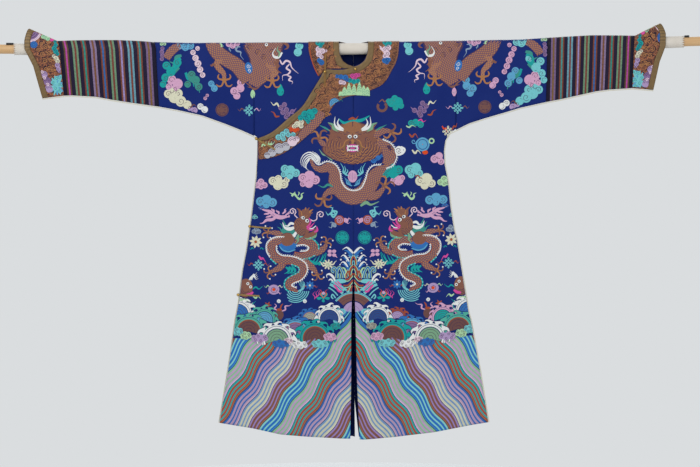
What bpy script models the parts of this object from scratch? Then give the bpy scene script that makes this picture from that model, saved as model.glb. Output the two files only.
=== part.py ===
"""A Chinese court robe with long sleeves and hoof cuffs, hung on a padded wooden rod.

The cloth is worked out on one hanging form. A point of it has two numbers in millimetres:
x, along the rod, and drop, the length of cloth below the level of the rod's axis. A negative
drop is the part that goes over the rod, up to FOLD, where the cloth turns to the back.
The robe faces -Y, +X is the wearer's left, and the rod's axis passes through the origin.
"""

import math

import bmesh
import bpy
import numpy as np

MM = 0.001
ROBE = "dragon_robe"

# The cloth
WALL = 2.0
TRIM_WALL = 1.2
SEAM = 0.3
SLEEVE_SEAM = 0.6
LAYER_GAP = 0.5
COLLAR_GAP = 0.7
FOLD_GAP = 0.35
FOLD = -36.0
ARC_STEPS = 5
ARCH_LIMIT = 1.2
NORMAL_STEP = 1.0

# The rod rises to the wearer's left and bows a little under the robe
ROD_TILT = 0.01145
ROD_BOW = 8.73e-6
ROD_RADIUS = 16.0
PAD_RADIUS = 20.2
ROD_ENDS = (-1250.0, 1225.0)
PAD_ENDS = (-1171.0, 1140.0)
ROD_SIDES = 24

# How far the walls stand from the middle plane
DEPTH_AT_ROD = 22.2
DEPTH_AT_HEM = 17.0
DEPTH_DROP = 500.0
SIDE_EDGE = 1.2
SLEEVE_EDGE = 3.0
SIDE_REACH = 250.0
REACH_SHARE = 0.85
CLOSING = 1.5
FLAP_LIFT = 2.7
LIFT_WIDTH = 150.0
LIFT_DROP = 50.0
LONGEST_DROP = 1340.0
BEND_START = 850.0
RIPPLES = ((2.4, 230.0, 1.0), (1.5, 340.0, 2.0))
RIPPLE_START = 350.0
RIPPLE_FULL = 1050.0
FRONT_SHIFT = 0.6
BACK_SHIFT = 2.1

# How much shorter than the outer front the back and the hidden front hang
BACK_SHORT = 6.0
UNDER_SHORT = 10.0

# Trim
PIPING_RADIUS = 1.7
CUFF_EDGING = 20.0
BUTTON_RADIUS = 4.5
LOOP_WIDTH = 4.5
LOOP_WALL = 1.5
CLIP_HEIGHT = 6.0
EDGING_EXTRA = 0.4
BACK_COLLAR_LIFT = 0.3
BACK_COLLAR_TRIM = 0.6
BACK_COLLAR_END = 0.5
BUTTON_INSET = 3.0
PADDING_GAP = 0.35
ROD_STATIONS = 11
CLIPS = (("right", -1197.0, -1173.0), ("left", 1142.0, 1157.0))

# Top edge of the sleeves: x, height above the level of the origin
TOP_EDGE = (
    (-1118, 69), (-1022, 27), (-964, 29), (-888, 30), (-812, 30), (-740, 27), (-687, 23),
    (-564, 20), (-343, 21), (-50, 23), (50, 23), (264, 26), (385, 28), (488, 30), (581, 32),
    (668, 38), (750, 43), (826, 47), (926, 46), (970, 45), (1056, 87),
)

# Underside of each sleeve from the cuff to the armhole seam: x, depth below the origin
UNDER_RIGHT = (
    (-1074, 167), (-999, 158), (-971, 157), (-888, 162), (-833, 172), (-776, 181),
    (-671, 196), (-609, 207), (-523, 226), (-440, 256), (-385, 278), (-343, 297),
)
UNDER_LEFT = (
    (1035, 138), (961, 132), (881, 137), (837, 143), (775, 157), (712, 171),
    (669, 179), (574, 200), (526, 215), (450, 237), (398, 254), (354, 276),
)

# Side edge of the skirt from the armhole seam to the hem: x, depth
SIDE_RIGHT = (
    (-343, 297), (-333, 304), (-328, 314), (-329, 366), (-333, 435), (-352, 590),
    (-368, 697), (-381, 763), (-395, 873), (-407, 935), (-423, 1049), (-436, 1132), (-462, 1290),
)
SIDE_LEFT = (
    (354, 276), (333, 290), (317, 316), (312, 352), (314, 397), (326, 459), (334, 542),
    (347, 625), (356, 659), (376, 780), (397, 911), (404, 935), (436, 1108), (465, 1288),
)

# Hem: x, depth
HEM_RIGHT = ((-462, 1290), (-347, 1308), (-250, 1329), (-150, 1337), (-40, 1343), (0, 1343))
HEM_LEFT = ((0, 1345), (40, 1346), (140, 1338), (278, 1321), (407, 1297), (465, 1288))

# Edges of the centre slit: drop, x
SLIT_RIGHT = ((756, -0.2), (932, -8), (1142, -8), (1342, -11))
SLIT_LEFT = ((756, 0.2), (932, 7), (1142, 12), (1342, 21))

# The hidden front's inner edge, behind the flap: drop, x
UNDER_EDGE = ((63.0, -0.2), (100.0, 1.7), (LONGEST_DROP, 1.7))

# Seams across a sleeve: part of the way from fold (-1) over the rod's level (0) to the
# underside (1), and x
SEAMS_RIGHT = {
    "armhole": ((-1, -343), (1, -343)),
    "stripes": ((-1, -687), (1, -671)),
    "cuff": ((-1, -1022), (1, -999)),
    "rim": ((-1, -1118), (-0.26, -1133), (0, -1132), (0.36, -1102), (1, -1074)),
}
SEAMS_LEFT = {
    "armhole": ((-1, 354), (1, 354)),
    "stripes": ((-1, 668), (1, 664)),
    "cuff": ((-1, 970), (1, 961)),
    "rim": ((-1, 1056), (-0.29, 1075), (0.09, 1074), (0.42, 1054), (1, 1035)),
}

# Neck opening: drop, half width; the back is cut only a little below the fold
NECK_FRONT = ((FOLD, 50), (0, 49.5), (14, 48.5), (30, 43), (44, 36), (56, 19), (63, 0.2))
NECK_BACK = ((FOLD, 50), (-28.8, 45), (-21.6, 24), (-16, 0.2))

# Collar on the left front and the flap: the open edge, the seam between edging and band,
# and the band's outer line, each as x and drop
COLLAR = (
    ((50, FOLD), (71, FOLD), (156, FOLD)),
    ((49.5, 0), (70.5, 0), (155.5, 0)),
    ((49, 12), (69, 15), (154, 22)),
    ((44, 29), (65, 36), (146, 50)),
    ((37, 43), (57, 53), (132, 77)),
    ((19, 57), (31, 75), (102, 123)),
    ((-2, 64), (3, 85), (47, 149)),
    ((-29, 72), (-26, 90), (-2, 161)),
    ((-64, 73), (-59, 92), (-40, 174)),
    ((-98, 73), (-80, 95), (-67, 194)),
    ((-116, 103), (-97, 114), (-85, 221)),
    ((-148, 155), (-130, 166), (-115, 257)),
    ((-178, 200), (-162, 214), (-136, 282)),
    ((-223, 237), (-209, 254), (-181, 314)),
    ((-271, 278), (-257, 294), (-236, 355)),
    ((-302, 296), (-293, 310), (-281, 373)),
    ((-331, 306), (-329, 317), (-327, 379)),
)

# Collar on the under front, which stops at the flap: edge, seam, a fold point, outer line
COLLAR_UNDER = (
    ((-50, FOLD), (-70, FOLD), (-110, FOLD), (-155, FOLD)),
    ((-49.5, 0), (-70, 0), (-110, 0), (-155, 0)),
    ((-48, 18), (-68, 20), (-108, 18), (-153, 15)),
    ((-43, 31), (-63, 40), (-103, 38), (-147, 36)),
    ((-36, 44), (-56, 58), (-97, 56), (-137, 60)),
    ((-19, 56), (-36, 69), (-97, 69), (-119, 96)),
)
EDGING_UNDER_END = ((-1, 62), (-1, 69))

# Collar on the back, as half widths by drop: inner edging line and outer line
BACK_SEAM = ((FOLD, 70), (-21.6, 64), (-7.2, 40), (4, 0.2))
BACK_OUTER = ((FOLD, 155), (0, 155), (30, 148), (60, 122), (80, 80), (90, 0.2))

# Buttons and their loops on the outer front: the loop's button end and its sewn end
SIDE_LOOPS = {
    "collar_corner": ((-98, 77), (-99, 100)),
    "underarm": ((-338, 306), (-271, 344)),
    "side": ((-361, 609), (-287, 617)),
    "lower_side": ((-401, 845), (-326, 849)),
}
NECK_BUTTON = (6, 72)

# Rows of the grids: drops round the neck, parts of the flap's length, parts of a sleeve's
# front, drops of the back collar
NECK_ROWS = (14.0, 30.0, 44.0, 56.0, 63.0, 85.0, 120.0, 165.0, 215.0, 262.0)
FLAP_TOP_ROWS = (0.0, 0.02, 0.05, 0.09)
FLAP_TOP_END = 0.14
FLAP_LOW_ROWS = 14
FLAP_TUCK = 7.0
SLEEVE_ROWS = (0.12, 0.3, 0.5, 0.7, 0.88, 1.0)
NEAREST_STATION = 0.03
COLLAR_ROWS = (4.0, 15.0, 30.0, 45.0, 60.0, 70.0, 80.0, 86.0)

COLOURS = {
    "silk": (0.015, 0.03, 0.16, 1.0),
    "stripes": (0.02, 0.01, 0.03, 1.0),
    "cuff": (0.012, 0.01, 0.03, 1.0),
    "edging": (0.2, 0.12, 0.04, 1.0),
    "band": (0.012, 0.01, 0.03, 1.0),
    "piping": (0.6, 0.58, 0.5, 1.0),
    "cord": (0.35, 0.2, 0.05, 1.0),
    "button": (0.8, 0.55, 0.2, 1.0),
    "wood": (0.6, 0.38, 0.18, 1.0),
    "muslin": (0.8, 0.77, 0.7, 1.0),
    "clip": (0.02, 0.02, 0.02, 1.0),
}


def clear_scene():
    for obj in list(bpy.data.objects):
        bpy.data.objects.remove(obj, do_unlink=True)


def table(rows, x):
    """Reads a two-column table, straight between its rows."""
    first, second = np.array(sorted(rows), float).T
    return np.interp(x, first, second)


def smooth(t):
    """0 below 0, 1 above 1, with soft ends."""
    t = np.clip(t, 0.0, 1.0)
    return t * t * (3.0 - 2.0 * t)


EVEN_COLUMNS = np.linspace(0.0, 1.0, 9)


def rod_height(x):
    return ROD_TILT * x + ROD_BOW * x * x


def drop_at(x, depth):
    """Cloth length below the rod's level for a depth below the origin."""
    return depth + rod_height(x)


def fold_height(x):
    """How far the shoulder fold stands above the rod's axis."""
    return np.maximum(table(TOP_EDGE, x) - rod_height(x), DEPTH_AT_ROD)


def under_drop(x):
    """Cloth length from the rod's level to a sleeve's underside."""
    depth = np.where(x < 0, table(UNDER_RIGHT, x), table(UNDER_LEFT, x))
    return drop_at(x, depth)


def from_outline(x, z):
    """Distance to the nearest underside or side edge."""
    best = np.full(np.shape(x), np.inf)
    for rows in (UNDER_RIGHT + SIDE_RIGHT, UNDER_LEFT + SIDE_LEFT):
        line = np.array(rows, float) * (1.0, -1.0)
        for a, b in zip(line[:-1], line[1:]):
            run = b - a
            length = max(run @ run, MM)
            t = np.clip(((x - a[0]) * run[0] + (z - a[1]) * run[1]) / length, 0.0, 1.0)
            best = np.minimum(best, np.hypot(x - a[0] - t * run[0], z - a[1] - t * run[1]))
    return best


def ripple(x, drop, side):
    """Soft upright waves that grow towards the hem."""
    grown = smooth((drop - RIPPLE_START) / (RIPPLE_FULL - RIPPLE_START))
    shift = FRONT_SHIFT if side < 0 else BACK_SHIFT
    return grown * sum(
        height * np.sin(2.0 * math.pi * x / length + shift * turn)
        for height, length, turn in RIPPLES
    )


def hanging(x, drop, side, outer, edge):
    """Middle of the wall: an arch over the rod, then a sheet that closes towards its edges."""
    level = rod_height(x)
    turn = np.clip(drop / FOLD, None, ARCH_LIMIT) * math.pi / 2.0
    arch_y = DEPTH_AT_ROD * np.cos(turn)
    arch_z = level + fold_height(x) * np.sin(turn)
    z = level - drop
    reach = REACH_SHARE * np.minimum(under_drop(x), SIDE_REACH)
    filled = 1.0 - (1.0 - np.clip(from_outline(x, z) / reach, 0.0, 1.0)) ** CLOSING
    deep = DEPTH_AT_ROD - (DEPTH_AT_ROD - DEPTH_AT_HEM) * smooth(drop / DEPTH_DROP)
    sheet_y = edge + (deep - edge + ripple(x, drop, side)) * filled
    if outer:
        sheet_y = sheet_y + FLAP_LIFT * smooth(1.0 - x / LIFT_WIDTH) * smooth(drop / LIFT_DROP)
    over = drop < 0.0
    return np.stack([x, side * np.where(over, arch_y, sheet_y), np.where(over, arch_z, z)], axis=-1)


def cloth(x, drop, side=-1.0, level=0.0, outer=False, edge=SIDE_EDGE):
    """Points of the cloth in mm, moved out of it by level along its normal."""
    x, drop = np.broadcast_arrays(np.asarray(x, float), np.asarray(drop, float))
    middle = hanging(x, drop, side, outer, edge)
    if level == 0.0:
        return middle
    step = NORMAL_STEP
    along = hanging(x + step, drop, side, outer, edge) - hanging(x - step, drop, side, outer, edge)
    down = hanging(x, drop + step, side, outer, edge) - hanging(x, drop - step, side, outer, edge)
    normal = np.cross(down, along) * -side
    normal /= np.linalg.norm(normal, axis=-1, keepdims=True)
    return middle + level * normal


def material(name, roughness=0.7, metallic=0.0):
    found = bpy.data.materials.get(name)
    if found:
        return found
    made = bpy.data.materials.new(name)
    made.use_nodes = True
    shader = made.node_tree.nodes["Principled BSDF"]
    shader.inputs["Base Color"].default_value = COLOURS[name]
    shader.inputs["Roughness"].default_value = roughness
    shader.inputs["Metallic"].default_value = metallic
    return made


def add_object(name, mesh, look):
    mesh.materials.append(look)
    obj = bpy.data.objects.new(name, mesh)
    bpy.data.collections[ROBE].objects.link(obj)
    return obj


def add_sheet(name, points, look, wall=WALL, ring=False):
    """A wall of cloth round a grid of middle points; ring joins the last column to the first."""
    rows, columns = points.shape[:2]
    index = np.arange(rows * columns).reshape(rows, columns)
    if ring:
        index = np.hstack([index, index[:, :1]])
    corners = (index[:-1, :-1], index[1:, :-1], index[1:, 1:], index[:-1, 1:])
    faces = np.stack(corners, axis=-1).reshape(-1, 4)
    mesh = bpy.data.meshes.new(name)
    mesh.from_pydata((points.reshape(-1, 3) * MM).tolist(), [], faces.tolist())
    obj = add_object(name, mesh, look)
    solidify = obj.modifiers.new("wall", "SOLIDIFY")
    solidify.thickness = wall * MM
    solidify.offset = 0.0
    return obj


def levels(left, short):
    """Drops of a panel's rows: close over the rod and round the neck, then the side's points."""
    over = np.linspace(FOLD, 0.0, ARC_STEPS + 1)
    over[0] += FOLD_GAP
    side = np.array([drop_at(x, depth) for x, depth in (SIDE_LEFT if left else SIDE_RIGHT)])
    side[-1] = LONGEST_DROP - short
    return np.concatenate([over, NECK_ROWS, side])


def outer_edge(drop, left):
    """x of a front or back panel's outer edge: the armhole seam, then the side edge."""
    rows = SIDE_LEFT if left else SIDE_RIGHT
    by_depth = [(depth, x) for x, depth in rows]
    by_depth[0] = (by_depth[0][0], by_depth[0][1] - math.copysign(SLEEVE_SEAM / 2, rows[0][0]))
    near = table(by_depth, drop)
    return table(by_depth, drop - rod_height(near))


def hem_drop(x):
    depth = np.where(x < 0, table(HEM_RIGHT, x), table(HEM_LEFT, x))
    return drop_at(x, depth)


def to_hem(row_drops, x_of, u, short):
    """Grid of x and drop whose lower rows bend into the line of the hem, short of it."""
    drop = np.repeat(row_drops[:, None], len(u), axis=1)
    x = x_of(drop, u)
    bend = smooth((drop - BEND_START) / (row_drops[-1] - BEND_START))
    drop = drop + (hem_drop(x) - short - row_drops[-1]) * bend
    return x_of(drop, u), drop


def panel(name, side, left, neck, centre, outer=False, across=EVEN_COLUMNS, short=0.0):
    """One half of the body: a length of silk from the shoulder fold to the hem."""
    sign = 1.0 if left else -1.0
    row_drops = levels(left, short)

    def x_of(drop, u):
        inner = np.where(drop < neck[-1][0], sign * table(neck, drop), table(centre, drop))
        return inner + (outer_edge(drop, left) - inner) * u

    x, drop = to_hem(row_drops, x_of, across, short)
    return add_sheet(name, cloth(x, drop, side, outer=outer), material("silk"))


def add_body():
    panel("front_left", -1.0, True, NECK_FRONT, SLIT_LEFT, outer=True)
    panel("back_left", 1.0, True, NECK_BACK, SLIT_LEFT, short=BACK_SHORT)
    panel("back_right", 1.0, False, NECK_BACK, SLIT_RIGHT, short=BACK_SHORT)
    columns = 1.0 - flap_columns()[::-1]
    panel("front_under", -1.0, False, NECK_FRONT, UNDER_EDGE, across=columns, short=UNDER_SHORT)


def flap_edge():
    """The flap's curved upper edge from the underarm to the centre, as x and drop."""
    edge = np.array([row[0] for row in COLLAR[6:]], float)[::-1]
    edge[-1, 1] += FLAP_TUCK
    return edge.T


def flap_columns():
    """Where the flap's columns stand, from 0 at the side to 1 at the centre."""
    x = flap_edge()[0]
    return (x - x[0]) / (x[-1] - x[0])


def add_flap():
    """The outer right front: from the curved edge under the collar down to the hem."""
    top_x, top_drop = flap_edge()
    across = flap_columns()
    down = np.concatenate([FLAP_TOP_ROWS, np.linspace(FLAP_TOP_END, 1.0, FLAP_LOW_ROWS)])
    side_start = drop_at(SIDE_RIGHT[2][0], SIDE_RIGHT[2][1])

    def x_of(drop):
        side = outer_edge(np.maximum(drop, side_start), False)
        centre = table(SLIT_RIGHT, drop)
        return side + (centre - side) * across

    hem_x = x_of(np.full(across.shape, LONGEST_DROP))
    drop = top_drop + (hem_drop(hem_x) - top_drop) * down[:, None]
    x = x_of(drop)
    # The flap's own edge runs exactly along the collar's edge
    x = x + (top_x - x[0]) * np.clip(1.0 - down[:, None] / FLAP_TOP_END, 0.0, 1.0)
    add_sheet("front_flap", cloth(x, drop, outer=True), material("silk"))


def sleeve_tube(name, near, far, look, left, wall=WALL):
    """A length of sleeve between two seams, as rings of front, underside and back."""
    over = np.linspace(-1.0, 0.0, ARC_STEPS + 1)
    half = np.concatenate([over, SLEEVE_ROWS])
    start, end = near(1.0), far(1.0)
    shares = [(x - start) / (end - start) for x, _ in (UNDER_LEFT if left else UNDER_RIGHT)]
    inside = [share for share in shares if NEAREST_STATION < share < 1.0 - NEAREST_STATION]
    shares = inside or [0.5]
    share = np.array([0.0, *sorted(shares), 1.0])[:, None]
    x = near(half) + (far(half) - near(half)) * share
    drop = np.where(half < 0.0, -half * FOLD, half * under_drop(x))
    front = cloth(x, drop, -1.0, edge=SLEEVE_EDGE)
    back = cloth(x, drop, 1.0, edge=SLEEVE_EDGE)[:, ::-1]
    low_x = x[:, -1:]
    low_z = rod_height(low_x) - under_drop(low_x) - SLEEVE_EDGE
    lowest = np.stack([low_x, np.zeros_like(low_x), low_z], axis=-1)
    ring = np.concatenate([front, lowest, back[:, :-1]], axis=1)
    if left:
        ring = ring[:, ::-1]
    add_sheet(name, ring, look, wall, ring=True)


def add_sleeves():
    for name, seams, left in (("right", SEAMS_RIGHT, False), ("left", SEAMS_LEFT, True)):
        out = 1.0 if left else -1.0
        gap = out * SLEEVE_SEAM / 2

        def seam(which, shift):
            return lambda part: table(seams[which], part) + shift

        rim_in = seam("rim", -out * CUFF_EDGING)
        edging_in = seam("rim", -out * (CUFF_EDGING - SLEEVE_SEAM))
        sleeve_tube(f"sleeve_upper_{name}", seam("armhole", gap), seam("stripes", -gap),
                    material("silk"), left)
        sleeve_tube(f"sleeve_striped_{name}", seam("stripes", gap), seam("cuff", -gap),
                    material("stripes"), left)
        sleeve_tube(f"cuff_{name}", seam("cuff", gap), rim_in, material("cuff"), left)
        sleeve_tube(f"cuff_edging_{name}", edging_in, seam("rim", 0.0),
                    material("edging"), left, WALL + EDGING_EXTRA)


def ribbon(name, rails, look, level, across, wall, outer=True):
    """A strip sewn on the front: rails are its lines along, each a list of x and drop."""
    rails = np.array(rails, float)
    stations = []
    for a, b in zip(rails[:-1], rails[1:]):
        steps = ARC_STEPS if a[0, 1] < 0.0 and b[0, 1] >= 0.0 else 1
        for step in range(steps):
            stations.append(a + (b - a) * step / steps)
    stations.append(rails[-1])
    grid = np.array(stations)
    grid[0, :, 1] += FOLD_GAP
    count = grid.shape[1] - 1
    where = np.linspace(0.0, count, across * count + 1)
    low = np.minimum(where.astype(int), count - 1)
    share = (where - low)[:, None]
    flat = grid[:, low] * (1.0 - share) + grid[:, low + 1] * share
    add_sheet(name, cloth(flat[..., 0], flat[..., 1], level=level, outer=outer), look, wall)


def add_collar():
    """Gold edging along the neck and the flap, and the dark band beside it."""
    edging = material("edging")
    band = material("band")
    level = WALL / 2 + COLLAR_GAP + TRIM_WALL / 2
    edges = [row[0] for row in COLLAR]
    seams = [row[1] for row in COLLAR]
    outers = [row[2] for row in COLLAR]
    apart = np.array(outers, float) - np.array(seams, float)
    apart /= np.linalg.norm(apart, axis=1, keepdims=True)
    edging_side = np.array(seams) - apart * SEAM / 2
    band_side = np.array(seams) + apart * SEAM / 2
    ribbon("collar_edging_front", list(zip(edges, edging_side)), edging, level, 2, TRIM_WALL)
    ribbon("collar_band_front", list(zip(band_side, outers)), band, level, 4, TRIM_WALL)

    under_edging = [(row[0], (row[1][0] + SEAM / 2, row[1][1])) for row in COLLAR_UNDER]
    under_edging.append(EDGING_UNDER_END)
    ribbon("collar_edging_under", under_edging, edging, level, 2, TRIM_WALL, outer=False)
    under_band = [((row[1][0] - SEAM / 2, row[1][1]), row[2], row[3]) for row in COLLAR_UNDER]
    ribbon("collar_band_under", under_band, band, level, 2, TRIM_WALL, outer=False)

    level = level + BACK_COLLAR_LIFT
    trim = -BACK_COLLAR_TRIM
    for name, sign in (("left", 1.0), ("right", -1.0)):
        back_ring(f"collar_edging_back_{name}", NECK_BACK, BACK_SEAM, trim, sign, edging, level)
        back_ring(f"collar_band_back_{name}", BACK_SEAM, BACK_OUTER, 0.0, sign, band, level)


def back_ring(name, inner, outer, trim, sign, look, level):
    """Half of a ring on the back, from the shoulder fold to the centre, row by row."""
    last = outer[-1][0] - BACK_COLLAR_END
    over = np.linspace(FOLD, 0.0, 2 * ARC_STEPS + 1)
    rows = np.concatenate([over, COLLAR_ROWS])
    rows = np.append(rows[rows < last], last)
    rows[0] += FOLD_GAP
    near = np.maximum(table(inner, rows), 0.2)
    far = np.maximum(table(outer, rows) + trim, near + 1.0)
    u = np.linspace(0.0, 1.0, 4)
    x = sign * (near[:, None] + (far - near)[:, None] * u)
    add_sheet(name, cloth(x, rows[:, None] + 0.0 * x, 1.0, level), look, TRIM_WALL)


def add_piping():
    """A cream cord along each underarm and side edge."""
    for name, under, side in (("right", UNDER_RIGHT, SIDE_RIGHT), ("left", UNDER_LEFT, SIDE_LEFT)):
        line = np.array(under[:-1] + side, float) * (1.0, -1.0)
        run = np.gradient(line, axis=0)
        run /= np.linalg.norm(run, axis=1, keepdims=True)
        out = np.stack([run[:, 1], -run[:, 0]], axis=1)
        if name == "left":
            out = -out
        sleeve = np.arange(len(line)) < len(under)
        below = np.where(sleeve, SLEEVE_EDGE + WALL / 2, 0.0)
        away = below + PIPING_RADIUS + 2.0 * LAYER_GAP
        line = line + out * away[:, None]
        points = [(x, 0.0, z) for x, z in line]
        tube(f"piping_{name}", points, PIPING_RADIUS, 2, material("piping"))


def tube(name, points, radius, resolution, look):
    curve = bpy.data.curves.new(name, "CURVE")
    curve.dimensions = "3D"
    curve.bevel_depth = radius * MM
    curve.bevel_resolution = resolution
    curve.use_fill_caps = True
    spline = curve.splines.new("POLY")
    spline.points.add(len(points) - 1)
    for point, place in zip(spline.points, points):
        point.co = (*(value * MM for value in place), 1.0)
    return add_object(name, curve, look)


def rod_ring(x, radius):
    turn = np.arange(ROD_SIDES) * 2.0 * math.pi / ROD_SIDES
    y = radius * np.cos(turn) + 0.0 * x
    return np.stack([x + 0.0 * y, y, rod_height(x) + radius * np.sin(turn)], axis=-1)


def add_rod():
    """The bare wooden rod, with flat ends."""
    x = np.linspace(ROD_ENDS[0], ROD_ENDS[1], ROD_STATIONS)[:, None]
    rings = rod_ring(x, ROD_RADIUS).reshape(-1, 3) * MM
    body = bmesh.new()
    verts = [body.verts.new(point) for point in rings]
    for ring in range(ROD_STATIONS - 1):
        for side in range(ROD_SIDES):
            after = (side + 1) % ROD_SIDES
            a = ring * ROD_SIDES
            b = a + ROD_SIDES
            body.faces.new((verts[a + side], verts[b + side], verts[b + after], verts[a + after]))
    body.faces.new(verts[:ROD_SIDES])
    body.faces.new(verts[-ROD_SIDES:])
    bmesh.ops.recalc_face_normals(body, faces=body.faces)
    mesh = bpy.data.meshes.new("rod")
    body.to_mesh(mesh)
    body.free()
    add_object("rod", mesh, material("wood", 0.5))


def add_padding():
    """The muslin sleeve round the rod, as a thick tube."""
    x = np.linspace(PAD_ENDS[0], PAD_ENDS[1], ROD_STATIONS)[:, None]
    inner = ROD_RADIUS + PADDING_GAP
    wall = PAD_RADIUS - inner
    middle = rod_ring(x, inner + wall / 2)
    add_sheet("rod_padding", middle, material("muslin", 0.9), wall, ring=True)


def add_clips():
    """Small black saddles on top of the rod beside the padding."""
    for name, low, high in CLIPS:
        turn = np.radians(np.linspace(60.0, 120.0, 5))
        x = np.array([low, high])[:, None]
        radius = ROD_RADIUS + SEAM + CLIP_HEIGHT / 2
        y = radius * np.cos(turn) + 0.0 * x
        points = np.stack([x + 0.0 * y, y, rod_height(x) + radius * np.sin(turn)], axis=-1)
        add_sheet(f"rod_clip_{name}", points, material("clip"), CLIP_HEIGHT)


def add_button(name, x, drop, level):
    place = cloth(x, drop, level=level + BUTTON_RADIUS, outer=True) * MM
    ball = bmesh.new()
    bmesh.ops.create_uvsphere(ball, u_segments=12, v_segments=8, radius=BUTTON_RADIUS * MM)
    mesh = bpy.data.meshes.new(name)
    ball.to_mesh(mesh)
    ball.free()
    mesh.shade_smooth()
    obj = add_object(name, mesh, material("button", 0.3, 1.0))
    obj.location = place.tolist()


def add_buttons():
    """Five ball buttons, four with a sewn loop of cord."""
    trim_top = WALL / 2 + COLLAR_GAP + TRIM_WALL
    on_trim = trim_top + LAYER_GAP + LOOP_WALL / 2
    on_silk = WALL / 2 + LAYER_GAP + LOOP_WALL / 2
    for name, (start, end) in SIDE_LOOPS.items():
        level = on_trim if name in ("collar_corner", "underarm") else on_silk
        a = np.array(start, float)
        b = np.array(end, float)
        run = (b - a) / np.linalg.norm(b - a)
        half = np.array([-run[1], run[0]]) * LOOP_WIDTH / 2
        share = np.linspace(0.0, 1.0, 6)[:, None, None]
        grid = (a + (b - a) * share) + np.stack([-half, half])[None]
        points = cloth(grid[..., 0], grid[..., 1], level=level, outer=True)
        add_sheet(f"loop_{name}", points, material("cord"), LOOP_WALL)
        x, drop = a + run * BUTTON_INSET
        add_button(f"button_{name}", x, drop, level + LOOP_WALL / 2 + LAYER_GAP)
    add_button("button_neck", *NECK_BUTTON, trim_top + LAYER_GAP)


def main():
    clear_scene()
    collection = bpy.data.collections.new(ROBE)
    bpy.context.scene.collection.children.link(collection)
    add_body()
    add_flap()
    add_sleeves()
    add_collar()
    add_piping()
    add_rod()
    add_padding()
    add_clips()
    add_buttons()


main()
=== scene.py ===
"""Looks of a Chinese court robe hung flat on a padded rod: silks, brocade, trim and light.

Cloth is worked out with two numbers in millimetres: x along the rod, and drop, the length of
cloth below the level of the rod's axis. A negative drop goes over the rod, up to FOLD.
"""

import math

import bpy
import numpy as np
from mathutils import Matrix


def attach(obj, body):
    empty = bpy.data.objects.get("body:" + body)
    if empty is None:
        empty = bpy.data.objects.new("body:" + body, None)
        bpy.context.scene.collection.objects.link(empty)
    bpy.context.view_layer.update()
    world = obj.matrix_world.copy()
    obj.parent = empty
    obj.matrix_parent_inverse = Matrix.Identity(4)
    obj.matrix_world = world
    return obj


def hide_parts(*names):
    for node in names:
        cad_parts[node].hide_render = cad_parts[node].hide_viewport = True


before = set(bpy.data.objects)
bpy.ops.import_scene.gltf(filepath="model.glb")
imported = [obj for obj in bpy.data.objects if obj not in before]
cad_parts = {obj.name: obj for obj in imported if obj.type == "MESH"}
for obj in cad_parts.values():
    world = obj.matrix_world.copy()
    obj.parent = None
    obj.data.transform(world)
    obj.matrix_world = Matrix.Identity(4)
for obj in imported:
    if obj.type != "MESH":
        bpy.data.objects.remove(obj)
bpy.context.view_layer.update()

bl_info = {
    "name": "Court robe",
    "version": (1, 0, 0),
    "blender": (4, 5, 0),
    "location": "View3D > Sidebar > Robe",
    "description": "Builds the silks, brocade, trim and light of a court robe",
    "category": "Object",
}

MM = 0.001
BODY = "root"

# The hanging form, as in the solids
WALL = 2.0
FOLD = -36.0
ROD_TILT = 0.01145
ROD_BOW = 8.73e-6
PAD_RADIUS = 20.2
PAD_ENDS = (-1171.0, 1140.0)
DEPTH_AT_ROD = 22.2
DEPTH_AT_HEM = 17.0
DEPTH_DROP = 500.0
SIDE_EDGE = 1.2
SLEEVE_EDGE = 3.0
SIDE_REACH = 250.0
FLAP_LIFT = 2.7
LIFT_WIDTH = 150.0
LIFT_DROP = 50.0
LONGEST_DROP = 1340.0
BEND_START = 850.0
RIPPLES = ((2.4, 230.0, 1.0), (1.5, 340.0, 2.0))
RIPPLE_START = 350.0
RIPPLE_FULL = 1050.0

ARCH_LIMIT = 1.2
REACH_SHARE = 0.85
CLOSING = 1.5
OVER_ROWS = 14
CLOTH_STEP = 9.0
SHELL = 1.2
TRIM_SHELL = 0.8
COLLAR_LEVEL = 2.2

TOP_EDGE = (
    (-1118, 69), (-1022, 27), (-964, 29), (-888, 30), (-812, 30), (-740, 27), (-687, 23),
    (-564, 20), (-343, 21), (-50, 23), (50, 23), (264, 26), (385, 28), (488, 30), (581, 32),
    (668, 38), (750, 43), (826, 47), (926, 46), (970, 45), (1056, 87),
)
UNDER_RIGHT = (
    (-1074, 167), (-999, 158), (-971, 157), (-888, 162), (-833, 172), (-776, 181),
    (-671, 196), (-609, 207), (-523, 226), (-440, 256), (-385, 278), (-343, 297),
)
UNDER_LEFT = (
    (1035, 138), (961, 132), (881, 137), (837, 143), (775, 157), (712, 171),
    (669, 179), (574, 200), (526, 215), (450, 237), (398, 254), (354, 276),
)
SIDE_RIGHT = (
    (-343, 297), (-333, 304), (-328, 314), (-329, 366), (-333, 435), (-352, 590),
    (-368, 697), (-381, 763), (-395, 873), (-407, 935), (-423, 1049), (-436, 1132), (-462, 1290),
)
SIDE_LEFT = (
    (354, 276), (333, 290), (317, 316), (312, 352), (314, 397), (326, 459), (334, 542),
    (347, 625), (356, 659), (376, 780), (397, 911), (404, 935), (436, 1108), (465, 1288),
)
HEM_RIGHT = ((-462, 1290), (-347, 1308), (-250, 1329), (-150, 1337), (-40, 1343), (0, 1343))
HEM_LEFT = ((0, 1345), (40, 1346), (140, 1338), (278, 1321), (407, 1297), (465, 1288))
SLIT_RIGHT = ((756, -0.05), (932, -8), (1142, -8), (1342, -11))
SLIT_LEFT = ((756, 0.05), (932, 7), (1142, 12), (1342, 21))

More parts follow.
